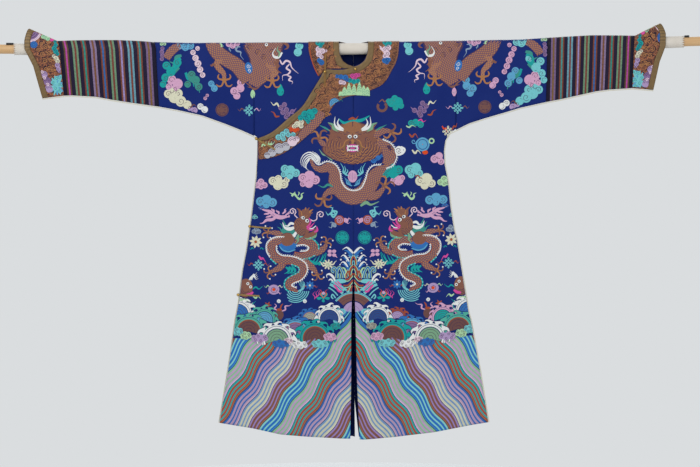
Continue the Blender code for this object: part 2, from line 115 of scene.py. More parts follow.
# The back's slit hangs closed behind the front's down to the last hand's breadth, where it
# opens; the under front stops short of it
BACK_SLIT_LEFT = ((756, 0.03), (932, 0.5), (1142, 2.6), (1215, 4.0), (1342, 19.0))
BACK_SLIT_RIGHT = ((756, -0.03), (932, 0.44), (1142, 2.54), (1215, 3.9), (1342, 5.0))
UNDER_FRONT = ((63, -0.2), (100, 1.7), (756, 1.7), (932, -9.5), (1142, -11.0), (1342, -14.0))

# Seams across a sleeve: part of the way from fold (-1) over the rod's level (0) to the
# underside (1), and x
SEAMS_RIGHT = {
    "armhole": ((-1, -343), (1, -343)),
    "stripes": ((-1, -687), (1, -671)),
    "cuff": ((-1, -1022), (1, -999)),
    "rim": ((-1, -1118), (-0.26, -1133), (0, -1132), (0.36, -1102), (1, -1074)),
}
SEAMS_LEFT = {
    "armhole": ((-1, 354), (1, 354)),
    "stripes": ((-1, 668), (1, 664)),
    "cuff": ((-1, 970), (1, 961)),
    "rim": ((-1, 1056), (-0.29, 1075), (0.09, 1074), (0.42, 1054), (1, 1035)),
}
CUFF_EDGING = 20.0
SEAM = 0.3

NECK_FRONT = ((FOLD, 50), (0, 49.5), (14, 48.5), (30, 43), (44, 36), (56, 19), (63, 0.2))
NECK_BACK = ((FOLD, 50), (-28.8, 45), (-21.6, 24), (-16, 0.2))

# Collar on the left front and the flap: open edge, seam and outer line, each x and drop
COLLAR = (
    ((50, FOLD), (71, FOLD), (156, FOLD)),
    ((49.5, 0), (70.5, 0), (155.5, 0)),
    ((49, 12), (69, 15), (154, 22)),
    ((44, 29), (65, 36), (146, 50)),
    ((37, 43), (57, 53), (132, 77)),
    ((19, 57), (31, 75), (102, 123)),
    ((-2, 64), (3, 85), (47, 149)),
    ((-29, 72), (-26, 90), (-2, 161)),
    ((-64, 73), (-59, 92), (-40, 174)),
    ((-98, 73), (-80, 95), (-67, 194)),
    ((-116, 103), (-97, 114), (-85, 221)),
    ((-148, 155), (-130, 166), (-115, 257)),
    ((-178, 200), (-162, 214), (-136, 282)),
    ((-223, 237), (-209, 254), (-181, 314)),
    ((-271, 278), (-257, 294), (-236, 355)),
    ((-302, 296), (-293, 310), (-281, 373)),
    ((-331, 306), (-329, 317), (-327, 379)),
)
COLLAR_UNDER = (
    ((-50, FOLD), (-70, FOLD), (-110, FOLD), (-155, FOLD)),
    ((-49.5, 0), (-70, 0), (-110, 0), (-155, 0)),
    ((-48, 18), (-68, 20), (-108, 18), (-153, 15)),
    ((-43, 31), (-63, 40), (-103, 38), (-147, 36)),
    ((-36, 44), (-56, 58), (-97, 56), (-137, 60)),
    ((-19, 56), (-36, 69), (-97, 69), (-119, 96)),
)
EDGING_UNDER_END = ((-1, 62), (-1, 69))
BACK_SEAM = ((FOLD, 70), (-21.6, 64), (-7.2, 40), (4, 0.2))
BACK_OUTER = ((FOLD, 155), (0, 155), (30, 148), (60, 122), (80, 80), (90, 0.2))

# Creases: from x, drop to x, drop, half width and height (below 0 a trough), front then back
CREASES = {
    -1: (
        (-338, 250, -322, 330, 9, -2.6), (-352, 268, -300, 350, 7, 1.8),
        (345, 240, 330, 330, 8, -2.4), (366, 260, 318, 360, 7, 1.7),
        (-290, 360, -300, 760, 22, -1.6), (-238, 420, -262, 900, 26, 1.3),
        (-150, 330, -160, 820, 20, -1.0), (-96, 480, -104, 1100, 24, 1.1),
        (-330, 860, -352, 1300, 18, -1.6), (-205, 900, -214, 1320, 20, -1.5),
        (120, 260, 128, 760, 22, -1.1), (196, 330, 214, 900, 24, 1.2),
        (268, 380, 290, 980, 20, -1.5), (340, 820, 372, 1280, 17, -1.7),
        (150, 920, 160, 1320, 22, 1.3), (246, 980, 262, 1320, 16, -1.2),
        (-470, 60, -430, 230, 16, -1.5), (-560, 20, -520, 190, 18, 1.1),
        (-640, 30, -610, 180, 12, -1.0), (-760, 10, -750, 160, 14, -1.2),
        (-880, 0, -872, 150, 12, 1.0), (-960, 10, -958, 140, 10, -0.9),
        (450, 50, 420, 220, 15, -1.4), (540, 10, 515, 190, 17, 1.0),
        (640, 20, 622, 160, 12, -1.1), (740, 0, 728, 150, 14, 1.0),
        (846, 0, 838, 130, 12, -1.0), (925, 0, 920, 120, 10, 0.9),
    ),
    1: (
        (-336, 245, -318, 345, 9, -2.4), (342, 242, 326, 340, 9, -2.2),
        (-280, 340, -296, 800, 24, -1.5), (-190, 300, -206, 900, 22, 1.2),
        (-110, 420, -116, 1040, 26, -1.2), (-340, 840, -360, 1290, 18, 1.5),
        (-230, 940, -240, 1310, 20, -1.4), (108, 360, 118, 880, 24, 1.1),
        (206, 300, 222, 820, 22, -1.3), (290, 420, 318, 1060, 20, 1.4),
        (160, 960, 170, 1320, 20, -1.5), (356, 900, 384, 1280, 16, -1.3),
        (-460, 40, -425, 220, 16, -1.3), (-590, 10, -560, 180, 18, 1.0),
        (-800, 10, -790, 160, 14, -1.1), (470, 30, 440, 210, 15, -1.2),
        (610, 10, 590, 170, 16, 1.0), (800, 0, 790, 140, 13, -1.0),
    ),
}


def table(rows, x):
    """Reads a two-column table, straight between its rows."""
    first, second = np.array(sorted(rows), float).T
    return np.interp(x, first, second)


def smooth(t):
    """0 below 0, 1 above 1, with soft ends."""
    t = np.clip(t, 0.0, 1.0)
    return t * t * (3.0 - 2.0 * t)


def rod_height(x):
    return ROD_TILT * x + ROD_BOW * x * x


def drop_at(x, depth):
    """Cloth length below the rod's level for a depth below the origin."""
    return depth + rod_height(x)


def fold_height(x):
    """How far the shoulder fold stands above the rod's axis."""
    return np.maximum(table(TOP_EDGE, x) - rod_height(x), DEPTH_AT_ROD)


def under_drop(x):
    """Cloth length from the rod's level to a sleeve's underside."""
    depth = np.where(x < 0, table(UNDER_RIGHT, x), table(UNDER_LEFT, x))
    return drop_at(x, depth)


def from_outline(x, z):
    """Distance to the nearest underside or side edge."""
    best = np.full(np.shape(x), np.inf)
    for rows in (UNDER_RIGHT + SIDE_RIGHT[1:], UNDER_LEFT + SIDE_LEFT[1:]):
        line = np.array(rows, float) * (1.0, -1.0)
        for a, b in zip(line[:-1], line[1:]):
            run = b - a
            t = np.clip(((x - a[0]) * run[0] + (z - a[1]) * run[1]) / (run @ run), 0.0, 1.0)
            best = np.minimum(best, np.hypot(x - a[0] - t * run[0], z - a[1] - t * run[1]))
    return best


def ripple(x, drop, side):
    """Soft upright waves that grow towards the hem: two sines of x, faded in by drop."""
    grown = smooth((drop - RIPPLE_START) / (RIPPLE_FULL - RIPPLE_START))
    shift = 0.6 if side < 0 else 2.1
    return grown * sum(
        height * np.sin(2.0 * math.pi * x / length + shift * turn)
        for height, length, turn in RIPPLES
    )


def crease(x, drop, side):
    """Sum of soft troughs and ridges: each is a bell across a line that fades at both ends."""
    total = np.zeros(np.shape(x))
    for ax, ad, bx, bd, width, height in CREASES[side]:
        run = np.array([bx - ax, bd - ad], float)
        length = math.hypot(*run)
        along = ((x - ax) * run[0] + (drop - ad) * run[1]) / length ** 2
        across = ((x - ax) * run[1] - (drop - ad) * run[0]) / length
        bell = np.exp(-(across / width) ** 2)
        total += height * bell * smooth(along * 4.0 + 0.5) * smooth((1.0 - along) * 4.0 + 0.5)
    return total


def hanging(x, drop, side, outer, edge):
    """Middle of the wall: an arch over the rod, then a sheet that closes towards its edges."""
    level = rod_height(x)
    turn = np.clip(drop / FOLD, None, ARCH_LIMIT) * math.pi / 2.0
    arch_y = DEPTH_AT_ROD * np.cos(turn)
    arch_z = level + fold_height(x) * np.sin(turn)
    z = level - drop
    reach = REACH_SHARE * np.minimum(under_drop(x), SIDE_REACH)
    filled = 1.0 - (1.0 - np.clip(from_outline(x, z) / reach, 0.0, 1.0)) ** CLOSING
    deep = DEPTH_AT_ROD - (DEPTH_AT_ROD - DEPTH_AT_HEM) * smooth(drop / DEPTH_DROP)
    sheet_y = edge + (deep - edge + ripple(x, drop, side)) * filled
    sheet_y = sheet_y + crease(x, drop, side) * filled * smooth(drop / LIFT_DROP)
    lift = FLAP_LIFT * smooth(1.0 - x / LIFT_WIDTH) * smooth(drop / LIFT_DROP)
    sheet_y = sheet_y + np.where(outer, lift, 0.0)
    over = drop < 0.0
    return np.stack([x, side * np.where(over, arch_y, sheet_y), np.where(over, arch_z, z)], axis=-1)


def cloth(x, drop, side=-1, level=0.0, outer=False, edge=SIDE_EDGE):
    """Points of the cloth in mm, moved out of it by level along its normal.

    The normal is the cross product of the differences along x and down the cloth.
    """
    x, drop, level = np.broadcast_arrays(*(np.asarray(v, float) for v in (x, drop, level)))
    middle = hanging(x, drop, side, outer, edge)
    if not np.any(level):
        return middle
    step = 1.0
    along = hanging(x + step, drop, side, outer, edge) - hanging(x - step, drop, side, outer, edge)
    down = hanging(x, drop + step, side, outer, edge) - hanging(x, drop - step, side, outer, edge)
    normal = np.cross(down, along) * -side
    normal /= np.linalg.norm(normal, axis=-1, keepdims=True)
    return middle + level[..., None] * normal


def outer_edge(drop, left):
    """x of a front or back panel's outer edge: the armhole seam, then the side edge."""
    rows = SIDE_LEFT if left else SIDE_RIGHT
    by_depth = [(depth, x) for x, depth in rows]
    near = table(by_depth, drop)
    return table(by_depth, drop - rod_height(near))


def hem_drop(x):
    depth = np.where(x < 0, table(HEM_RIGHT, x), table(HEM_LEFT, x))
    return drop_at(x, depth)


def to_hem(row_drops, x_of, u, short):
    """Grid of x and drop whose lower rows bend into the line of the hem, short of it."""
    drop = np.repeat(row_drops[:, None], len(u), axis=1)
    x = x_of(drop, u)
    bend = smooth((drop - BEND_START) / (row_drops[-1] - BEND_START))
    drop = drop + (hem_drop(x) - short - row_drops[-1]) * bend
    return x_of(drop, u), drop


def half_panel(left, neck, centre, short, columns):
    """x and drop of one half of the body, from the shoulder fold to the hem."""
    sign = 1.0 if left else -1.0
    over = np.linspace(FOLD, 0.0, OVER_ROWS, endpoint=False)
    below = np.arange(0.0, LONGEST_DROP - short, CLOTH_STEP)
    side = SIDE_LEFT if left else SIDE_RIGHT
    corner = [depth + float(rod_height(x)) for x, depth in side[:4]]
    row_drops = np.unique(np.concatenate([over, below, corner, [LONGEST_DROP - short]]))

    def x_of(drop, u):
        inner = np.where(drop < neck[-1][0], sign * table(neck, drop), table(centre, drop))
        return inner + (outer_edge(drop, left) - inner) * u

    return to_hem(row_drops, x_of, columns, short)


def quads(rows, columns, ring=False):
    """Faces of a grid, row by row; ring joins the last column to the first."""
    index = np.arange(rows * columns).reshape(rows, columns)
    if ring:
        index = np.hstack([index, index[:, :1]])
    corners = (index[:-1, :-1], index[1:, :-1], index[1:, 1:], index[:-1, 1:])
    return np.stack(corners, axis=-1).reshape(-1, 4)


def piece(name, points, faces, looks, uv=None, face_colours=None, look_of=None):
    """One mesh object from points in mm, with a UV map in metres of cloth and face colours."""
    mesh = bpy.data.meshes.new(name)
    mesh.from_pydata((np.asarray(points).reshape(-1, 3) * MM).tolist(), [], faces.tolist())
    for look in looks:
        mesh.materials.append(look)
    if uv is not None:
        layer = mesh.uv_layers.new(name="cloth")
        layer.data.foreach_set("uv", (np.asarray(uv).reshape(-1, 2)[faces.ravel()] * MM).ravel())
    if face_colours is not None:
        layer = mesh.color_attributes.new("silk", "FLOAT_COLOR", "CORNER")
        layer.data.foreach_set("color", np.repeat(face_colours, faces.shape[1], axis=0).ravel())
    if look_of is not None:
        mesh.polygons.foreach_set("material_index", look_of)
    mesh.polygons.foreach_set("use_smooth", np.ones(len(faces), bool))
    mesh.update()
    made = bpy.data.objects.new(name, mesh)
    bpy.context.scene.collection.objects.link(made)
    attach(made, BODY)
    return made


def wall(obj, thickness, offset=0.0, lining=0, rim=0):
    """Gives a sheet its thickness; lining and rim are steps in its material list."""
    solidify = obj.modifiers.new("wall", "SOLIDIFY")
    solidify.thickness = thickness * MM
    solidify.offset = offset
    solidify.material_offset = lining
    solidify.material_offset_rim = rim
    return obj


def linear(code):
    """sRGB hex to linear colour: each channel over 255, then the sRGB curve undone."""
    value = np.array([int(code[i:i + 2], 16) for i in (1, 3, 5)]) / 255.0
    curve = np.where(value <= 0.04045, value / 12.92, ((value + 0.055) / 1.055) ** 2.4)
    return (*curve.tolist(), 1.0)


def add_node(tree, kind, settings=None, links=None):
    """A node with its settings and links. A setting is an attribute, an input's number, or
    "stops", a ramp's hard steps as pairs of place and hex colour. A link is another node's
    output, or the plain value or hex colour that the input keeps."""
    node = tree.nodes.new(kind)
    for key, value in (settings or {}).items():
        if key == "stops":
            ramp = node.color_ramp
            ramp.interpolation = "CONSTANT"
            first = ramp.elements[0]
            first.position, first.color = value[0][0], linear(value[0][1])
            ramp.elements.remove(ramp.elements[1])
            for place, code in value[1:]:
                ramp.elements.new(place).color = linear(code)
        elif isinstance(key, int):
            node.inputs[key].default_value = value
        else:
            setattr(node, key, value)
    for socket, source in (links or {}).items():
        if isinstance(source, bpy.types.NodeSocket):
            tree.links.new(source, node.inputs[socket])
        elif isinstance(source, str):
            node.inputs[socket].default_value = linear(source)
        else:
            node.inputs[socket].default_value = source
    return node


def new_look(name, roughness, sockets=None):
    """A material with its Principled shader and the constants set on its own sockets."""
    look = bpy.data.materials.new(name)
    look.use_nodes = True
    shader = look.node_tree.nodes["Principled BSDF"]
    shader.inputs["Roughness"].default_value = roughness
    for socket, value in (sockets or {}).items():
        shader.inputs[socket].default_value = value
    return look, look.node_tree, shader


def cloth_place(tree):
    """The cloth's own x and drop, in metres, from its UV map."""
    place = add_node(tree, "ShaderNodeUVMap", {"uv_map": "cloth"})
    split = add_node(tree, "ShaderNodeSeparateXYZ", links={0: place.outputs[0]})
    return place.outputs[0], split.outputs[0], split.outputs[1]


def fine_weave(tree, shader, place, spacing, depth):
    """Raised threads across the cloth: a bump from bands whose pitch is the spacing."""
    threads = add_node(
        tree, "ShaderNodeTexWave",
        {
            "wave_type": "BANDS", "bands_direction": "DIAGONAL", 1: 1.0 / (spacing * MM * 20.0),
            2: 1.5, 3: 2.0
        },
        {0: place},
    )
    bump = add_node(tree, "ShaderNodeBump", {0: depth, 1: MM}, {"Height": threads.outputs["Fac"]})
    tree.links.new(bump.outputs[0], shader.inputs["Normal"])


# The lishui, the standing water of the hem: slanting wavy bands, from the side to the slit
WATER_ANGLE = math.radians(55.9)
WATER_PITCH = 40.6
WATER_START = -550.6
WATER_WAVE = 5.2
WATER_LENGTH = 138.0
WATER_LEAN = 0.3
WATER_TURN = 4.26
WATER_GROUND = ("#bea2c4", "#0f6cbe", "#80503c", "#cecdb2", "#b698b4", "#a84a34")
WATER_LINES = ("#8ac094", "#88d0cc", "#9a84be", "#7096c4", "#2166b4", "#00a8a6")
WATER_EDGES = ("#dcc0da", "#2c84d0", "#a4653e", "#dcdac2", "#d0b0c6", "#aa6a40")


def silk_look(settings):
    """Navy silk satin, woven: smooth sheen, slightly uneven dye. Below, the woven water bands."""
    look, tree, shader = new_look("navy silk satin", 0.45, {
        "IOR": 1.5, "Sheen Weight": 0.03, "Sheen Roughness": 0.35,
        "Sheen Tint": linear("#4a62c0"), "Specular IOR Level": 0.06,
    })
    place, x, drop = cloth_place(tree)
    uneven = add_node(tree, "ShaderNodeTexNoise", {2: 9.0, 3: 3.0}, {0: place})
    navy = add_node(
        tree, "ShaderNodeMix", {"data_type": "RGBA", "blend_type": "MIX"},
        {0: uneven.outputs[0], 6: tuple(settings.navy), 7: "#1c2e70"}
    ).outputs[2]
    side = add_node(
        tree, "ShaderNodeMath", {"operation": "MULTIPLY"},
        {
            0: add_node(tree, "ShaderNodeMath", {"operation": "ABSOLUTE"}, {0: x}).outputs[0],
            1: 1000.0
        }
    ).outputs[0]
    down = add_node(
        tree, "ShaderNodeMath", {"operation": "MULTIPLY"}, {0: drop, 1: 1000.0}
    ).outputs[0]
    sin, cos = math.sin(WATER_ANGLE), math.cos(WATER_ANGLE)
    along = add_node(
        tree, "ShaderNodeMath", {"operation": "ADD"},
        {
            0: add_node(
                tree, "ShaderNodeMath", {"operation": "MULTIPLY"}, {0: side, 1: cos}
            ).outputs[0],
            1: add_node(
                tree, "ShaderNodeMath", {"operation": "MULTIPLY"}, {0: down, 1: sin}
            ).outputs[0]
        }
    ).outputs[0]
    across = add_node(
        tree, "ShaderNodeMath", {"operation": "SUBTRACT"},
        {
            0: add_node(
                tree, "ShaderNodeMath", {"operation": "MULTIPLY"}, {0: side, 1: sin}
            ).outputs[0],
            1: add_node(
                tree, "ShaderNodeMath", {"operation": "MULTIPLY"}, {0: down, 1: cos}
            ).outputs[0]
        }
    ).outputs[0]
    leaning = add_node(
        tree, "ShaderNodeMath", {"operation": "MULTIPLY_ADD"}, {0: across, 1: WATER_LEAN, 2: along}
    ).outputs[0]
    turn = add_node(
        tree, "ShaderNodeMath", {"operation": "MULTIPLY_ADD"},
        {0: leaning, 1: 2.0 * math.pi / WATER_LENGTH, 2: WATER_TURN}
    ).outputs[0]
    wavy = add_node(
        tree, "ShaderNodeMath", {"operation": "MULTIPLY_ADD"},
        {
            0: add_node(tree, "ShaderNodeMath", {"operation": "SINE"}, {0: turn}).outputs[0],
            1: WATER_WAVE, 2: across
        }
    ).outputs[0]
    band = add_node(
        tree, "ShaderNodeMath", {"operation": "DIVIDE"},
        {
            0: add_node(
                tree, "ShaderNodeMath", {"operation": "SUBTRACT"}, {0: wavy, 1: WATER_START}
            ).outputs[0],
            1: WATER_PITCH
        }
    ).outputs[0]
    inside = add_node(tree, "ShaderNodeMath", {"operation": "FRACT"}, {0: band}).outputs[0]
    order = add_node(
        tree, "ShaderNodeMath", {"operation": "FRACT"},
        {
            0: add_node(
                tree, "ShaderNodeMath", {"operation": "DIVIDE"},
                {
                    0: add_node(
                        tree, "ShaderNodeMath", {"operation": "FLOOR"}, {0: band}
                    ).outputs[0],
                    1: 6.0
                }
            ).outputs[0]
        }
    ).outputs[0]
    order = add_node(tree, "ShaderNodeMath", {"operation": "ADD"}, {0: order, 1: 0.01}).outputs[0]
    bands = add_node(
        tree, "ShaderNodeValToRGB", {"stops": [(i / 6.0, WATER_GROUND[i]) for i in range(6)]},
        {0: order}
    ).outputs[0]
    lines = add_node(
        tree, "ShaderNodeValToRGB", {"stops": [(i / 6.0, WATER_LINES[i]) for i in range(6)]},
        {0: order}
    ).outputs[0]
    which = add_node(tree, "ShaderNodeValToRGB", {"stops": [
        (0.0, "#000000"), (0.24, "#ffffff"), (0.36, "#000000"), (0.54, "#ffffff"),
        (0.67, "#000000"), (0.85, "#ffffff"),
    ]}, {0: inside}).outputs[0]
    edges = add_node(
        tree, "ShaderNodeValToRGB", {"stops": [(i / 6.0, WATER_EDGES[i]) for i in range(6)]},
        {0: order}
    ).outputs[0]
    near_edge = add_node(
        tree, "ShaderNodeValToRGB", {"stops": [(0.0, "#ffffff"), (0.13, "#000000")]}, {0: inside}
    ).outputs[0]
    dark = add_node(
        tree, "ShaderNodeValToRGB", {"stops": [(0.0, "#ffffff"), (0.05, "#000000")]}, {0: inside}
    ).outputs[0]
    water = add_node(
        tree, "ShaderNodeMix", {"data_type": "RGBA", "blend_type": "MIX"},
        {
            0: near_edge,
            6: add_node(
                tree, "ShaderNodeMix", {"data_type": "RGBA", "blend_type": "MIX"},
                {0: which, 6: bands, 7: lines}
            ).outputs[2],
            7: edges
        }
    ).outputs[2]
    water = add_node(
        tree, "ShaderNodeMix", {"data_type": "RGBA", "blend_type": "MIX"},
        {0: dark, 6: water, 7: "#1c2244"}
    ).outputs[2]
    worn = add_node(tree, "ShaderNodeTexNoise", {2: 60.0, 3: 4.0}, {0: place})
    water = add_node(
        tree, "ShaderNodeMix", {"data_type": "RGBA", "blend_type": "MIX"},
        {
            0: add_node(
                tree, "ShaderNodeMath", {"operation": "MULTIPLY"}, {0: worn.outputs[0], 1: 0.28}
            ).outputs[0],
            6: water, 7: "#6d6470"
        }
    ).outputs[2]
    top = add_node(
        tree, "ShaderNodeMath", {"operation": "MINIMUM"},
        {
            0: add_node(
                tree, "ShaderNodeMath", {"operation": "MULTIPLY_ADD"}, {0: side, 1: 1.5, 2: 900.0}
            ).outputs[0],
            1: 995.0
        }
    ).outputs[0]
    start = add_node(
        tree, "ShaderNodeMath", {"operation": "GREATER_THAN"}, {0: down, 1: top}
    ).outputs[0]
    colour = add_node(
        tree, "ShaderNodeMix", {"data_type": "RGBA", "blend_type": "MIX"},
        {0: start, 6: navy, 7: water}
    ).outputs[2]
    tree.links.new(colour, shader.inputs["Base Color"])
    fine_weave(tree, shader, place, 1.2, 0.12)
    return look


def lining_look():
    """Plain navy silk lining, tabby weave: duller and darker than the face."""
    look, tree, shader = new_look(
        "navy lining silk", 0.6, {"Base Color": linear("#0b1846"), "Specular IOR Level": 0.04}
    )
    return look


def flat_silk(name, roughness=0.5, sheen=0.05, dull=0.3):
    """Floss silk in many colours, held in a colour attribute; soft sheen, ribbed by its threads."""
    look, tree, shader = new_look(name, roughness, {
        "Sheen Weight": sheen, "Sheen Roughness": 0.4, "IOR": 1.5, "Specular IOR Level": 0.12,
    })
    dye = add_node(tree, "ShaderNodeVertexColor", {"layer_name": "silk"})
    place = add_node(tree, "ShaderNodeUVMap", {"uv_map": "cloth"})
    uneven = add_node(tree, "ShaderNodeTexNoise", {2: 160.0, 3: 3.0}, {0: place.outputs[0]})
    shade = add_node(
        tree, "ShaderNodeMix", {"data_type": "RGBA", "blend_type": "MIX"},
        {
            0: add_node(
                tree, "ShaderNodeMath", {"operation": "MULTIPLY"}, {0: uneven.outputs[0], 1: dull}
            ).outputs[0],
            6: dye.outputs[0], 7: "#1e1a34"
        }
    ).outputs[2]
    tree.links.new(shade, shader.inputs["Base Color"])
    fine_weave(tree, shader, place.outputs[0], 1.4, 0.25)
    return look


def brocade_ground(name, dark, tone, light, scale, roughness=0.5):
    """Close brocade in gold thread on a dark ground: swirling lines of coils and scales."""
    look, tree, shader = new_look(
        name, roughness, {"Sheen Weight": 0.04, "IOR": 1.5, "Specular IOR Level": 0.15}
    )
    place = add_node(tree, "ShaderNodeUVMap", {"uv_map": "cloth"})
    bent = add_node(tree, "ShaderNodeTexNoise", {2: scale * 0.45, 3: 2.0}, {0: place.outputs[0]})
    moved = add_node(
        tree, "ShaderNodeMix", {"data_type": "VECTOR", 0: 0.035},
        {4: place.outputs[0], 5: bent.outputs[1]}
    )
    cells = add_node(
        tree, "ShaderNodeTexVoronoi", {"feature": "DISTANCE_TO_EDGE", 2: scale},
        {0: moved.outputs[1]}
    )
    coils = add_node(
        tree, "ShaderNodeTexWave", {"wave_type": "RINGS", 1: scale * 0.16, 2: 9.0, 3: 2.0, 4: 1.6},
        {0: moved.outputs[1]}
    )
    gaps = add_node(
        tree, "ShaderNodeMath", {"operation": "LESS_THAN"}, {0: cells.outputs[0], 1: 0.055}
    ).outputs[0]
    body = add_node(
        tree, "ShaderNodeMix", {"data_type": "RGBA", "blend_type": "MIX"},
        {0: coils.outputs["Fac"], 6: tone, 7: light}
    ).outputs[2]
    colour = add_node(
        tree, "ShaderNodeMix", {"data_type": "RGBA", "blend_type": "MIX"},
        {0: gaps, 6: body, 7: dark}
    ).outputs[2]
    tree.links.new(colour, shader.inputs["Base Color"])
    fine_weave(tree, shader, place.outputs[0], 1.4, 0.3)
    return look


def edging_look():
    """Gold-thread ribbon: olive gold lattice of small lozenges, matt metallic glint."""
    look, tree, shader = new_look("gold thread ribbon", 0.45, {"Metallic": 0.2})
    place, x, drop = cloth_place(tree)
    pitch = 2.0 * math.pi / 0.0085
    one = add_node(
        tree, "ShaderNodeMath", {"operation": "SINE"},
        {
            0: add_node(
                tree, "ShaderNodeMath", {"operation": "MULTIPLY"},
                {
                    0: add_node(
                        tree, "ShaderNodeMath", {"operation": "ADD"}, {0: x, 1: drop}
                    ).outputs[0],
                    1: pitch
                }
            ).outputs[0]
        }
    ).outputs[0]
    two = add_node(
        tree, "ShaderNodeMath", {"operation": "SINE"},
        {
            0: add_node(
                tree, "ShaderNodeMath", {"operation": "MULTIPLY"},
                {
                    0: add_node(
                        tree, "ShaderNodeMath", {"operation": "SUBTRACT"}, {0: x, 1: drop}
                    ).outputs[0],
                    1: pitch
                }
            ).outputs[0]
        }
    ).outputs[0]
    lozenge = add_node(
        tree, "ShaderNodeMath", {"operation": "MULTIPLY_ADD"},
        {
            0: add_node(
                tree, "ShaderNodeMath", {"operation": "MULTIPLY"}, {0: one, 1: two}
            ).outputs[0],
            1: 0.5, 2: 0.5
        }
    ).outputs[0]
    colour = add_node(
        tree, "ShaderNodeMix", {"data_type": "RGBA", "blend_type": "MIX"},
        {0: lozenge, 6: "#4c3a20", 7: "#8c6f42"}
    ).outputs[2]
    tree.links.new(colour, shader.inputs["Base Color"])
    fine_weave(tree, shader, place, 1.3, 0.3)
    return look


def plain_look(name, code, roughness, sockets=None):
    """One finish with a little unevenness at the scale of its making."""
    look, tree, shader = new_look(name, roughness, sockets)
    place = add_node(tree, "ShaderNodeTexCoord")
    uneven = add_node(tree, "ShaderNodeTexNoise", {2: 220.0, 3: 3.0}, {0: place.outputs["Object"]})
    shade = add_node(
        tree, "ShaderNodeMath", {"operation": "MULTIPLY_ADD"},
        {0: uneven.outputs[0], 1: 0.3, 2: 0.0}
    ).outputs[0]
    darker = tuple(v * 0.55 for v in linear(code)[:3]) + (1.0,)
    tree.links.new(
        add_node(
            tree, "ShaderNodeMix", {"data_type": "RGBA", "blend_type": "MIX"},
            {0: shade, 6: linear(code), 7: darker}
        ).outputs[2],
        shader.inputs["Base Color"]
    )
    return look


def wood_look():
    """Pale planed pine: long grain lines along the rod, satin from handling."""
    look, tree, shader = new_look("planed pine", 0.5, {"IOR": 1.5})
    place = add_node(tree, "ShaderNodeTexCoord")
    stretch = add_node(
        tree, "ShaderNodeMapping", {"vector_type": "POINT", 3: (3.0, 60.0, 60.0)},
        {0: place.outputs["Object"]}
    )
    grain = add_node(tree, "ShaderNodeTexNoise", {2: 6.0, 3: 5.0}, {0: stretch.outputs[0]})
    tree.links.new(
        add_node(
            tree, "ShaderNodeMix", {"data_type": "RGBA", "blend_type": "MIX"},
            {0: grain.outputs[0], 6: "#dcb98a", 7: "#b98a55"}
        ).outputs[2],
        shader.inputs["Base Color"]
    )
    return look


def muslin_look():
    """Undyed muslin over wadding: tabby weave, no gloss."""
    look, tree, shader = new_look("undyed muslin", 0.85, {"Sheen Weight": 0.3})
    place = add_node(tree, "ShaderNodeUVMap", {"uv_map": "cloth"})
    uneven = add_node(tree, "ShaderNodeTexNoise", {2: 40.0, 3: 4.0}, {0: place.outputs[0]})
    tree.links.new(
        add_node(
            tree, "ShaderNodeMix", {"data_type": "RGBA", "blend_type": "MIX"},
            {0: uneven.outputs[0], 6: "#dcd5cb", 7: "#c8bfb2"}
        ).outputs[2],
        shader.inputs["Base Color"]
    )
    fine_weave(tree, shader, place.outputs[0], 1.1, 0.3)
    return look


def scale_look():
    """Gold thread over red-brown floss, woven as a dragon's scales: lozenges with dark outlines."""
    look, tree, shader = new_look(
        "gold thread scales", 0.48, {"Sheen Weight": 0.04, "IOR": 1.5, "Specular IOR Level": 0.2}
    )
    place, along, across = cloth_place(tree)
    one = add_node(
        tree, "ShaderNodeMath", {"operation": "MULTIPLY"}, {0: along, 1: math.pi / 0.0115}
    ).outputs[0]
    two = add_node(
        tree, "ShaderNodeMath", {"operation": "MULTIPLY"}, {0: across, 1: math.pi / 0.0085}
    ).outputs[0]
    first = add_node(
        tree, "ShaderNodeMath", {"operation": "ABSOLUTE"},
        {
            0: add_node(
                tree, "ShaderNodeMath", {"operation": "SINE"},
                {
                    0: add_node(
                        tree, "ShaderNodeMath", {"operation": "ADD"}, {0: one, 1: two}
                    ).outputs[0]
                }
            ).outputs[0]
        }
    ).outputs[0]
    second = add_node(
        tree, "ShaderNodeMath", {"operation": "ABSOLUTE"},
        {
            0: add_node(
                tree, "ShaderNodeMath", {"operation": "SINE"},
                {
                    0: add_node(
                        tree, "ShaderNodeMath", {"operation": "SUBTRACT"}, {0: one, 1: two}
                    ).outputs[0]
                }
            ).outputs[0]
        }
    ).outputs[0]
    near = add_node(
        tree, "ShaderNodeMath", {"operation": "MINIMUM"}, {0: first, 1: second}
    ).outputs[0]
    line = add_node(
        tree, "ShaderNodeValToRGB", {"stops": [(0.0, "#ffffff"), (0.25, "#000000")]}, {0: near}
    ).outputs[0]
    heart = add_node(
        tree, "ShaderNodeValToRGB", {"stops": [(0.0, "#000000"), (0.62, "#ffffff")]}, {0: near}
    ).outputs[0]
    dye = add_node(tree, "ShaderNodeVertexColor", {"layer_name": "silk"})
    colour = add_node(
        tree, "ShaderNodeMix", {"data_type": "RGBA", "blend_type": "MIX"},
        {0: heart, 6: dye.outputs[0], 7: "#a8744f"}
    ).outputs[2]
    colour = add_node(
        tree, "ShaderNodeMix", {"data_type": "RGBA", "blend_type": "MIX"},
        {0: line, 6: colour, 7: "#523c68"}
    ).outputs[2]
    tree.links.new(colour, shader.inputs["Base Color"])
    fine_weave(tree, shader, place, 1.4, 0.3)
    return look


LOOKS = {}


